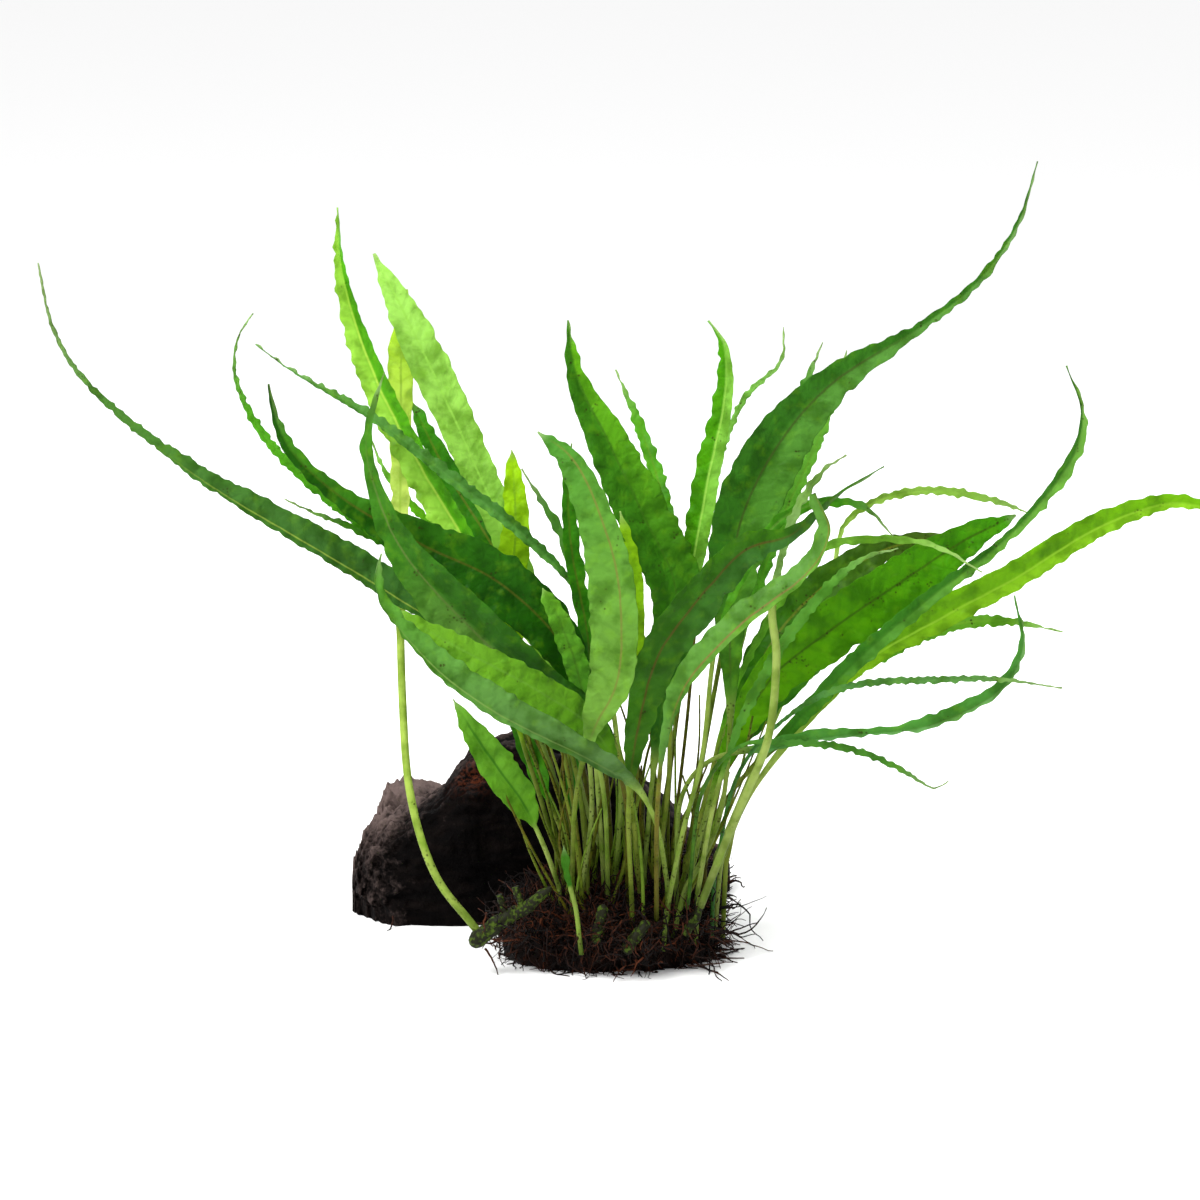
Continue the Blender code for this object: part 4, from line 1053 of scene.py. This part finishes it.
        # painted light and shade: the half beyond the midrib takes its own colour, lighter on some fronds
        # and darker on others, as a folded blade has one half lit and one in shade
        if habit.half:
            grown = np.clip(np.minimum(u * 6, (habit.half_to - u) * 4), 0, 1)
            beyond = (np.clip(0.5 - off / 0.5, 0, 1) * grown)[..., None]
            tint = tint * (1 - beyond) + linear(habit.half) * beyond
        age = lattice_noise(np.array([[number * 3.3, 1.0, 2.0]]), 1.0, 4.0)[0]
        stem = linear(habit.stem or STALK_GREENS[number % len(STALK_GREENS)]) * (1.0 + 0.35 * age)
        # painted shade: a stalk darkens to half its colour towards its foot, down among the crowded stalks
        stem = stem * (0.5 + 0.5 * np.clip(share * 4, 0, 1))[..., None]
        tint = stem * (1 - leaf[..., None]) + tint * leaf[..., None]
        return np.broadcast_to(tint, (*off.shape, 3))

    def spots(self, habit: Habit, number: int, share: np.ndarray, leaf: np.ndarray,
              off: np.ndarray) -> np.ndarray:
        """Share of the brown flecks that show: most near the midrib and on a stalk's foot.

        Args:
            habit: how the frond is marked.
            number: its place in the table, which picks how freckled its stalk is.
            share: share of the length passed, a row a ring.
            leaf: 0 on the stalk and 1 on the leaf.
            off: millimetres beyond the midrib.

        Returns:
            One value for each ring and point.
        """
        foot = (1 - leaf) * np.clip(1.4 - 3.0 * share, 0, 1)
        middle = 0.6 * leaf * np.exp(-((off / 1.2) ** 2))
        flecks = habit.spots * (1.0 - 0.6 * leaf + middle)
        return flecks + STALK_FLECKS[number % len(STALK_FLECKS)] * foot

    def build(self, finish: bpy.types.Material, slots: dict[str, str]) -> None:
        """Makes every frond and lets it stand for its solid.

        Args:
            finish: the leaf material.
            slots: each node's material slot in the record.
        """
        for number, (frond, line) in enumerate(zip(self.fronds, self.lines())):
            skin = self.surface(frond, line, number)
            skin.build(f"leaf_{frond.name[6:]}", finish, slots[frond.name], (frond.name,))


def mat_height(x: np.ndarray, y: np.ndarray) -> np.ndarray:
    """Height of the root mat's top: a low dome with a squared shoulder."""
    reach = ((x - MAT_CENTRE[0]) / MAT_REACH[0]) ** 2 + ((y - MAT_CENTRE[1]) / MAT_REACH[1]) ** 2
    return MAT_HEIGHT * np.clip(1 - reach, 0, 1) ** MAT_SQUARENESS


# ---------------------------------------------------------------- wood


@dataclass
class Wood:
    """One fork of the driftwood, through cross-sections of (along X, front, back, top)."""

    name: str
    solid: str
    stations: list[tuple[float, float, float, float]]
    seed: float
    rows: int = 190
    sides: int = 180
    rot_at: tuple[float, float, float] | None = None
    worn: float = 0.0  # how grey the whole fork has weathered
    big_lumps: float = 1.7  # millimetres, as are the next five
    small_lumps: float = 1.0
    crack_depth: float = 2.4
    crumbs: float = 0.4
    end_crumbs: float = 1.9  # more crumbs, on the broken left end
    rot_depth: float = 3.5

    def skin(self) -> Skin:
        """The fork as a carved loft.

        Cross-sections are squared ovals eased between the stations. Noise in three sizes,
        stretched along the grain, is added outwards; ridged noise cuts the cracks; and the
        underside is pressed flat at the ground.

        Returns:
            The skin, with how weathered each point is, a painted highlight on the tops included, and how
            rotten it is.
        """
        table = np.array(self.stations, float)
        order = np.linspace(0, len(table) - 1, self.rows)
        rail = smooth_curve(table[:, :3], self.rows)
        top = np.interp(rail[:, 0], table[:, 0], table[:, 3])[:, None]
        x, front, back = (rail[:, k][:, None] for k in range(3))
        ends = np.clip(np.minimum(order, order[::-1]) * 1.6, 0, 1)[:, None] ** 0.4 * 0.45 + 0.55
        angle = 2 * np.pi * np.arange(self.sides)[None] / self.sides
        square = np.where(np.sin(angle) < 0, 0.3, 0.7)
        side = np.sign(np.cos(angle)) * abs(np.cos(angle)) ** square
        rise = 0.5 + 0.5 * np.sign(np.sin(angle)) * abs(np.sin(angle)) ** 0.7
        y = (front + back) / 2 + (back - front) / 2 * side * ends
        z = top * (0.5 + (rise - 0.5) * ends)
        points = np.stack([np.broadcast_to(x, y.shape), y, z], axis=-1)
        middle = np.stack([x, (front + back) / 2, top / 2], axis=-1)
        away = unit((points - middle) * np.array([0.35, 1, 1]) + np.array([1e-6, 0, 0]))
        grain = points * np.array([0.45, 1, 1])
        big = rough_noise(grain, 11.0, self.seed, 3)
        small = rough_noise(grain, 3.2, self.seed + 5, 4)
        crack = 1 - abs(rough_noise(grain * np.array([0.5, 1, 1]), 8.0, self.seed + 9, 3)) * 2
        crack = np.clip(crack - 0.55, 0, 1)
        crumb = rough_noise(points, 1.7, self.seed + 3, 2)
        rough_end = np.clip((-30 - points[..., 0]) / 12, 0, 1)
        out = self.big_lumps * big + self.small_lumps * small - self.crack_depth * crack - 0.5
        out = out + crumb * (self.crumbs + self.end_crumbs * rough_end)
        rot = np.zeros(y.shape)
        if self.rot_at:
            rot = np.exp(-(((points - np.array(self.rot_at)) / np.array([7, 6, 5])) ** 2).sum(-1))
            out = out - self.rot_depth * rot
        points = points + away * out[..., None]
        points[..., 2] = np.where(rise < 0.12, 0.0, np.maximum(points[..., 2], 0.0))
        # painted highlight: the tops of the sections, fading towards the front, are greyed as if lit from
        # above; the broken end and the crumbs add real wear
        over = np.clip((rise - 0.62) / 0.3, 0, 1) * np.clip(0.75 + side * 0.6, 0.1, 1)
        wear = over * (0.55 + 0.5 * small) + 0.35 * rough_end + 0.25 * np.clip(crumb, 0, 1)
        wear = np.clip(wear + self.worn, 0, 1)
        return Skin.tubes(points[None], {"wear": wear[None], "rot": rot[None]})

    def build(self, finish: bpy.types.Material) -> None:
        """Makes the fork and lets it stand for its solid."""
        self.skin().build(self.name, finish, "driftwood", (self.solid,))


# ---------------------------------------------------------------- roots and stems

# single long roots: foot, heading and length
LONE_ROOTS = [
    ((-38, -12, 3), (0.2, -1, -0.6), 7), ((-14, -60, 8), (1, -0.3, -0.6), 13),
    ((-8, -60, 5), (0.5, -1, -0.3), 8), ((36, -58, 3), (1, -0.7, -0.2), 14),
    ((40, -50, 3), (1, -0.5, 0), 17), ((44, -40, 12), (1, -0.2, 0.2), 19),
]


@dataclass
class Roots:
    """The root mat: a dark felted heart and the fibres that wander over and out of it."""

    seed: int = 11
    felt_fibres: int = 1800  # in each of its two layers
    fringe_fibres: int = 230
    hair_fibres: int = 70
    fuzz_fibres: int = 800
    clump_fibres: int = 900
    loose_fibres: int = 240
    gripping_fibres: int = 420
    bare_count: int = 46

    def heart(self) -> Skin:
        """A dome on a flat underside, its height and reach lifted by two sizes of noise.

        Returns:
            The skin, with the age of each point.
        """
        u = np.linspace(0.02, np.pi - 0.02, 70)[:, None]
        v = 2 * np.pi * np.arange(120)[None] / 120
        flat = np.stack([np.sin(u) * np.cos(v), np.sin(u) * np.sin(v), np.cos(u) + 0 * v], axis=-1)
        lump = 0.97 + 0.07 * rough_noise(flat, 0.5, 2.0, 3) + 0.06 * rough_noise(flat, 0.16, 4.0, 3)
        x = MAT_CENTRE[0] + (MAT_REACH[0] - 4) * flat[..., 0] * lump
        y = MAT_CENTRE[1] + (MAT_REACH[1] - 4) * flat[..., 1] * lump
        z = MAT_HEIGHT * np.clip(flat[..., 2], 0, 1) ** 0.6 * lump * 1.05
        points = np.stack([x, y, z], axis=-1)
        age = 0.08 + 0.1 * rough_noise(flat, 0.2, 9.0, 3)
        return Skin.tubes(points[None], {"age": np.clip(age, 0, 1)[None]})

    def strands(self, start: np.ndarray, heading: np.ndarray, length: np.ndarray, curl: float,
                thick: np.ndarray, draw: np.random.Generator, sag: float, rings: int = 9) -> Skin:
        """Fibres that set off in a heading and bend by a random walk as they go.

        The direction at each point is the heading plus the running sum of small random turns
        and a sag that grows along the fibre; the points are the running sum of directions.

        Args:
            start: where each fibre sets off.
            heading: its direction there.
            length: its length.
            curl: how sharp the random turns are.
            thick: its radius at the start.
            draw: where the random numbers come from.
            sag: how far the direction has sunk at the end.
            rings: points along each fibre.

        Returns:
            The skin of all the fibres, with each one's age.
        """
        count = len(start)
        turns = np.cumsum(draw.normal(0, curl, (count, rings, 3)), axis=1)
        ramp = np.linspace(0, 1, rings)[None, :, None]
        direction = unit(heading[:, None] + turns - ramp * np.array([0, 0, sag]))
        steps = direction * (length / rings)[:, None, None]
        line = start[:, None] + np.cumsum(steps, axis=1)
        radius = thick[:, None] * (1 - 0.65 * np.linspace(0, 1, rings)[None])
        line[..., 2] = np.maximum(line[..., 2], radius + 0.05)
        age = draw.uniform(0, 1, count) ** 3
        ring = round_tubes(line, radius, 4)
        ages = np.broadcast_to(age[:, None, None], ring.shape[:3])
        return Skin.tubes(ring, {"age": ages})

    def dome_places(self, count: int, draw: np.random.Generator) -> tuple[np.ndarray, np.ndarray]:
        """Random places on and in the mat's dome.

        Args:
            count: how many places.
            draw: where the random numbers come from.

        Returns:
            The places, and the directions out of the dome.
        """
        angle = draw.uniform(0, 2 * np.pi, count)
        reach = draw.uniform(0.0, 1, count) ** 0.5 * 0.97
        x = MAT_CENTRE[0] + MAT_REACH[0] * reach * np.cos(angle)
        y = MAT_CENTRE[1] + MAT_REACH[1] * reach * np.sin(angle)
        z = mat_height(x, y) * np.where(draw.uniform(0, 1, count) < 0.4, draw.uniform(0, 1, count), 1)
        out = np.stack([np.cos(angle) * reach, np.sin(angle) * reach, 1.05 - reach], axis=1)
        return np.stack([x, y, z], axis=1), unit(out)

    def rim(self, count: int, low: float, high: float, draw: np.random.Generator) -> np.ndarray:
        """Random places on the mat's lower rim, between two angles.

        Args:
            count: how many places.
            low: the first angle in radians, from right towards the back.
            high: the last angle.
            draw: where the random numbers come from.

        Returns:
            Rows of the place and its angle.
        """
        angle = draw.uniform(low, high, count)
        x = MAT_CENTRE[0] + (MAT_REACH[0] - 3) * np.cos(angle)
        y = MAT_CENTRE[1] + (MAT_REACH[1] - 3) * np.sin(angle)
        return np.stack([x, y, draw.uniform(0.5, 9, count), angle], axis=1)

    def clump(self, draw: np.random.Generator) -> Skin:
        """Roots beyond the mat: an oval tuft on the right, loose ones and gripping ones.

        The loose ones lie about the stems in front. The gripping ones cross to the wood.

        Args:
            draw: where the random numbers come from.

        Returns:
            The skin of all of them.
        """
        out = unit(draw.normal(0, 1, (self.clump_fibres, 3)))
        reach = out * np.array([8.5, 20, 9.5]) * draw.uniform(0.5, 1, (len(out), 1))
        place = np.array([39.0, -16, 12]) + reach
        place[:, 2] = np.maximum(place[:, 2], 1)
        swirl = unit(np.cross(out, draw.normal(0, 1, out.shape)))
        ball = self.strands(place, swirl, draw.uniform(3, 8, len(out)), 0.7,
                            draw.uniform(0.16, 0.4, len(out)), draw, 0.3)
        count = self.loose_fibres
        stems = np.array([[-7.0, -60, 13], [15, -62, 11], [24, -63, 9], [38, -57, 12]])
        near = stems[draw.integers(0, len(stems), count)]
        near = near + draw.normal(0, 1, (count, 3)) * np.array([3.2, 1.4, 3.0])
        near[:, 2] = np.maximum(near[:, 2], 1)
        loose = self.strands(near, draw.normal(0, 1, (count, 3)), draw.uniform(3, 9, count), 0.6,
                             draw.uniform(0.15, 0.32, count), draw, 0.9)
        count = self.gripping_fibres
        grip = np.stack([draw.uniform(-4, 40, count), draw.uniform(-24, -13, count),
                         draw.uniform(1, 15, count)], axis=1)
        climb = np.stack([draw.normal(0, 0.5, count), np.ones(count),
                          draw.uniform(-0.2, 0.9, count)], axis=1)
        gripping = self.strands(grip, climb, draw.uniform(5, 15, count), 0.5,
                                draw.uniform(0.16, 0.4, count), draw, 0.3)
        return ball.joined(loose).joined(gripping)

    def build(self, finish: bpy.types.Material) -> None:
        """Makes the heart, the felt over it, the fringe and hairs, and the fuzz between stalks.

        Args:
            finish: the material of root fibres.
        """
        draw = np.random.default_rng(self.seed)
        self.heart().build("root_heart", finish, "roots", ("root_mat",))
        for layer in ("root_felt_under", "root_felt_over"):
            place, out = self.dome_places(self.felt_fibres, draw)
            swirl = unit(np.cross(out, draw.normal(0, 1, out.shape)))
            felt = self.strands(place - out, swirl, draw.uniform(5, 13, len(place)), 0.5,
                                draw.uniform(0.14, 0.32, len(place)), draw, 0.4)
            felt.build(layer, finish, "roots")
        rim = self.rim(self.fringe_fibres, -2.5, 0.4, draw)
        outward = np.stack([np.cos(rim[:, 3]), np.sin(rim[:, 3]),
                            draw.uniform(-0.9, 0.0, len(rim))], axis=1)
        fringe = self.strands(rim[:, :3], outward, draw.uniform(2.5, 6.5, len(rim)), 0.75,
                              draw.uniform(0.14, 0.32, len(rim)), draw, 0.6)
        rim = self.rim(self.hair_fibres, -0.75, 0.55, draw)
        outward = np.stack([np.cos(rim[:, 3]), np.sin(rim[:, 3]),
                            draw.uniform(-0.5, 0.2, len(rim))], axis=1)
        hairs = self.strands(rim[:, :3] + np.array([-3, 0, 1]), outward,
                             draw.uniform(8, 24, len(rim)), 0.62,
                             draw.uniform(0.16, 0.42, len(rim)), draw, 1.1, 14)
        foot, away, length = (np.array(column, float) for column in zip(*LONE_ROOTS))
        lone = self.strands(foot, away, length, 0.3, np.full(len(foot), 0.3), draw, 0.4, 14)
        fringe.joined(self.clump(draw)).build("root_fringe", finish, "roots")
        hairs.joined(lone).build("root_hairs", finish, "roots")
        place, out = self.dome_places(self.fuzz_fibres, draw)
        place[:, :2] = np.array(MAT_CENTRE) + (place[:, :2] - np.array(MAT_CENTRE)) * 0.86
        place[:, 2] = mat_height(place[:, 0], place[:, 1]) - 1
        upward = np.array([0, 0, 0.9]) + out * 0.3
        fuzz = self.strands(place, upward, draw.uniform(3, 9, len(place)), 0.6,
                            draw.uniform(0.18, 0.45, len(place)), draw, 0.5)
        fuzz.build("old_stalk_fuzz", finish, "roots")

    def bare_stalks(self, finish: bpy.types.Material) -> None:
        """Thin stalks that have lost their leaves, brown to olive, leaning out from the middle.

        Args:
            finish: the leaf material.
        """
        draw = np.random.default_rng(self.seed + 1)
        count = self.bare_count
        x = draw.uniform(4, 37, count)
        y = draw.uniform(-52, -24, count)
        foot = np.stack([x, y, mat_height(x, y) - 2], axis=1)
        lean = np.stack([(x - 20) / 60 + draw.normal(0, 0.16, count), draw.uniform(-0.35, 0.15, count),
                         np.ones(count)], axis=1)
        rise = np.linspace(0, 1, 26)[None, :, None]
        length = draw.uniform(30, 56, count)[:, None, None]
        bow = draw.normal(0, 2.6, (count, 1, 3)) * np.array([1, 0.6, 0])
        line = foot[:, None] + lean[:, None] * length * rise + bow * np.sin(np.pi * rise)
        radius = draw.uniform(0.36, 0.6, count)[:, None] * (1 - 0.5 * rise[..., 0])
        ring = round_tubes(line, radius, 10)
        share = draw.uniform(0, 1, count)[:, None, None, None]
        tint = linear("#5c4c10") * (1 - share) + linear("#7c9c34") * share
        values = {"tint": np.broadcast_to(tint, ring.shape), "rib": np.zeros(ring.shape),
                  "place": np.zeros(ring.shape), "spots": np.full(ring.shape[:3], 0.9)}
        Skin.tubes(ring, values).build("bare_stalks", finish, "old_stalk")


@dataclass
class Stem:
    """A creeping stem through given points, with the cut stalks that stand on it."""

    solid: str
    route: list[tuple[float, float, float]]
    radii: list[float]
    stubs: list[tuple[tuple[float, float, float], tuple[float, float, float]]] = field(
        default_factory=list)
    rings: int = 60
    sides: int = 24
    stub_rings: int = 12
    stub_sides: int = 16

    def skin(self) -> Skin:
        """A tube whose radius is read between its points, rounded at the ends and lumpy.

        Returns:
            The skin.
        """
        line = smooth_curve(np.array(self.route), self.rings)
        share = np.linspace(0, 1, self.rings)
        radius = np.interp(share, np.linspace(0, 1, len(self.radii)), self.radii)
        order = np.arange(self.rings)
        ends = np.clip(np.minimum(order, order[::-1]) / 5, 0, 1) ** 0.5 * 0.75 + 0.25
        ring = round_tubes(line[None], (radius * ends)[None], self.sides)
        middle = line[None, :, None]
        away = unit(ring - middle)
        ring = ring + away * (0.35 * rough_noise(ring, 1.8, 6.0, 3))[..., None]
        return Skin.tubes(ring)

    def stub(self, foot: tuple[float, float, float], end: tuple[float, float, float]) -> Skin:
        """A cut stalk: a tube that narrows a little and ends in a ragged flat cut.

        Args:
            foot: where it starts, inside the stem.
            end: the middle of its cut.

        Returns:
            The skin.
        """
        line = smooth_curve(np.array([foot, end]), self.stub_rings)
        radius = np.linspace(1.0, 0.8, self.stub_rings)
        ring = round_tubes(line[None], radius[None], self.stub_sides)
        return Skin.tubes(ring + 0.12 * rough_noise(ring, 0.9, 3.0, 2)[..., None])

    def build(self, finish: bpy.types.Material) -> None:
        """Makes the stem with its stubs and lets it stand for its solid.

        Args:
            finish: the material of the stems.
        """
        whole = self.skin()
        for foot, end in self.stubs:
            whole = whole.joined(self.stub(foot, end))
        whole.build(f"stem_{self.solid[8:]}", finish, "rhizome", (self.solid,))


# ---------------------------------------------------------------- studio


@dataclass
class Studio:
    """A white floor, a pale surround, soft lights and a long lens a little above level."""

    elevation: float = 12.0
    distance: float = 1500.0
    frame_width: float = 300.0
    aim: tuple[float, float, float] = (15.0, -30.0, 89.2)
    sensor: float = 36.0
    floor_reach: float = 6.0  # metres
    key_power: float = 14.0
    back_power: float = 3.0
    sky_power: float = 1.6
    world_power: float = 0.55

    def build(self) -> None:
        """Makes the floor, world, lights and camera."""
        self.floor()
        self.surround()
        self.lamp("key", (-420, -520, 900), 500, self.key_power)
        self.lamp("back", (120, 520, 500), 420, self.back_power)
        self.sky()
        self.camera()

    def floor(self) -> None:
        """A square floor at the ground."""
        mesh = bpy.data.meshes.new("floor")
        reach = self.floor_reach
        corners = [(-reach, -reach, 0), (reach, -reach, 0), (reach, reach, 0), (-reach, reach, 0)]
        mesh.from_pydata(corners, [], [(0, 1, 2, 3)])
        mesh.materials.append(PaleFloor("studio_floor").build())
        made = bpy.data.objects.new("floor", mesh)
        bpy.context.scene.collection.objects.link(made)

    def surround(self) -> None:
        """A white world."""
        world = bpy.data.worlds.new("studio")
        world.use_nodes = True
        world.node_tree.nodes["Background"].inputs[0].default_value = (1, 1, 1, 1)
        world.node_tree.nodes["Background"].inputs[1].default_value = self.world_power
        bpy.context.scene.world = world
        bpy.context.scene.view_settings.view_transform = "Standard"

    def sky(self) -> None:
        """A broad soft light from above, the same all over the floor."""
        lamp = bpy.data.lights.new("sky", "SUN")
        lamp.energy = self.sky_power
        lamp.angle = np.radians(70)
        made = bpy.data.objects.new("sky", lamp)
        made.rotation_euler = (np.radians(24), np.radians(-18), 0)
        bpy.context.scene.collection.objects.link(made)

    def lamp(self, name: str, place: tuple[float, float, float], size: float, power: float) -> None:
        """A square soft light that faces the plant.

        Args:
            name: its name.
            place: where it hangs, in millimetres.
            size: its side in millimetres.
            power: its strength in watts.
        """
        lamp = bpy.data.lights.new(name, "AREA")
        lamp.energy = power
        lamp.size = size * MM
        made = bpy.data.objects.new(name, lamp)
        made.location = Vector(place) * MM
        towards = Vector(self.aim) * MM - made.location
        made.rotation_euler = towards.to_track_quat("-Z", "Y").to_euler()
        bpy.context.scene.collection.objects.link(made)

    def camera(self) -> None:
        """A camera that frames the plant from the front."""
        camera = bpy.data.cameras.new("camera")
        camera.sensor_width = self.sensor
        camera.lens = self.sensor * self.distance / self.frame_width
        camera.clip_end = 20
        made = bpy.data.objects.new("camera", camera)
        tilt = np.radians(self.elevation)
        back = Vector((0, -np.cos(tilt), np.sin(tilt)))
        made.location = (Vector(self.aim) + back * self.distance) * MM
        made.rotation_euler = (-back).to_track_quat("-Z", "Y").to_euler()
        bpy.context.scene.collection.objects.link(made)
        bpy.context.scene.camera = made


WOODS = [
    Wood("wood_trunk", "driftwood_trunk",
         [(-49, 0, 11, 11), (-46, -6, 18, 19), (-40, -12, 22, 24), (-32, -14, 23, 28), (-26, -14, 25, 32),
          (-19, -14, 27, 41), (-11, -12, 30, 44), (3, -12, 31, 45), (15, -12, 32, 42), (26, -11, 33, 33),
          (34, -8, 33, 25), (39, 0, 32, 17)], 3.0, rot_at=(-17, -4, 40)),
    Wood("wood_knob", "driftwood_knob", [(-44, 18, 36, 21), (-40, 15, 39, 27), (-32, 14, 40, 28),
                                         (-25, 15, 38, 26), (-20, 18, 34, 20)], 8.0, 90, 100, worn=0.45),
    Wood("wood_right_end", "driftwood_right_end", [(27, -4, 33, 22), (34, 0, 34, 20), (39, 6, 36, 17),
                                                   (44, 13, 36, 13), (49, 19, 32, 8)], 13.0, 90, 100,
         worn=0.12),
]

STEMS = [
    Stem("rhizome_left", [(-17, -60, 8), (-10, -60, 14), (-3, -60, 18), (3, -60, 23)],
         [2.1, 1.9, 1.7, 1.0], [((-8, -60, 15), (-10, -60, 21)), ((-4, -60, 17), (-6, -60, 23))]),
    Stem("rhizome_middle", [(14, -62, 9), (15, -62, 14), (16, -62, 19)], [1.4, 1.5, 1.1]),
    Stem("rhizome_front", [(21, -63, 7), (24, -63, 11), (27, -63, 15)], [1.5, 1.5, 1.2]),
    Stem("rhizome_right", [(36, -58, 10), (38, -57, 13), (40, -56, 17)], [1.2, 1.2, 0.9]),
]


def main() -> None:
    """Builds the studio, the wood, the stems, the roots and the fronds, and notes the sizes."""
    logging.basicConfig(level=logging.INFO, format="%(name)s %(message)s")
    Studio().build()
    wood = SoakedWood("soaked_driftwood").build()
    for piece in WOODS:
        piece.build(wood)
    stem = ScalyStem("scaly_rhizome").build()
    for piece in STEMS:
        piece.build(stem)
    slots = {s["node"]: s["material_slot"] for s in frame["record"]["subparts"]}
    leaf = LivingLeaf("java_fern_leaf").build()
    roots = Roots()
    roots.build(RootFibre("fern_root_fibre").build())
    roots.bare_stalks(leaf)
    Fronds(FRONDS).build(leaf, slots)


if __name__ == "__main__":
    main()
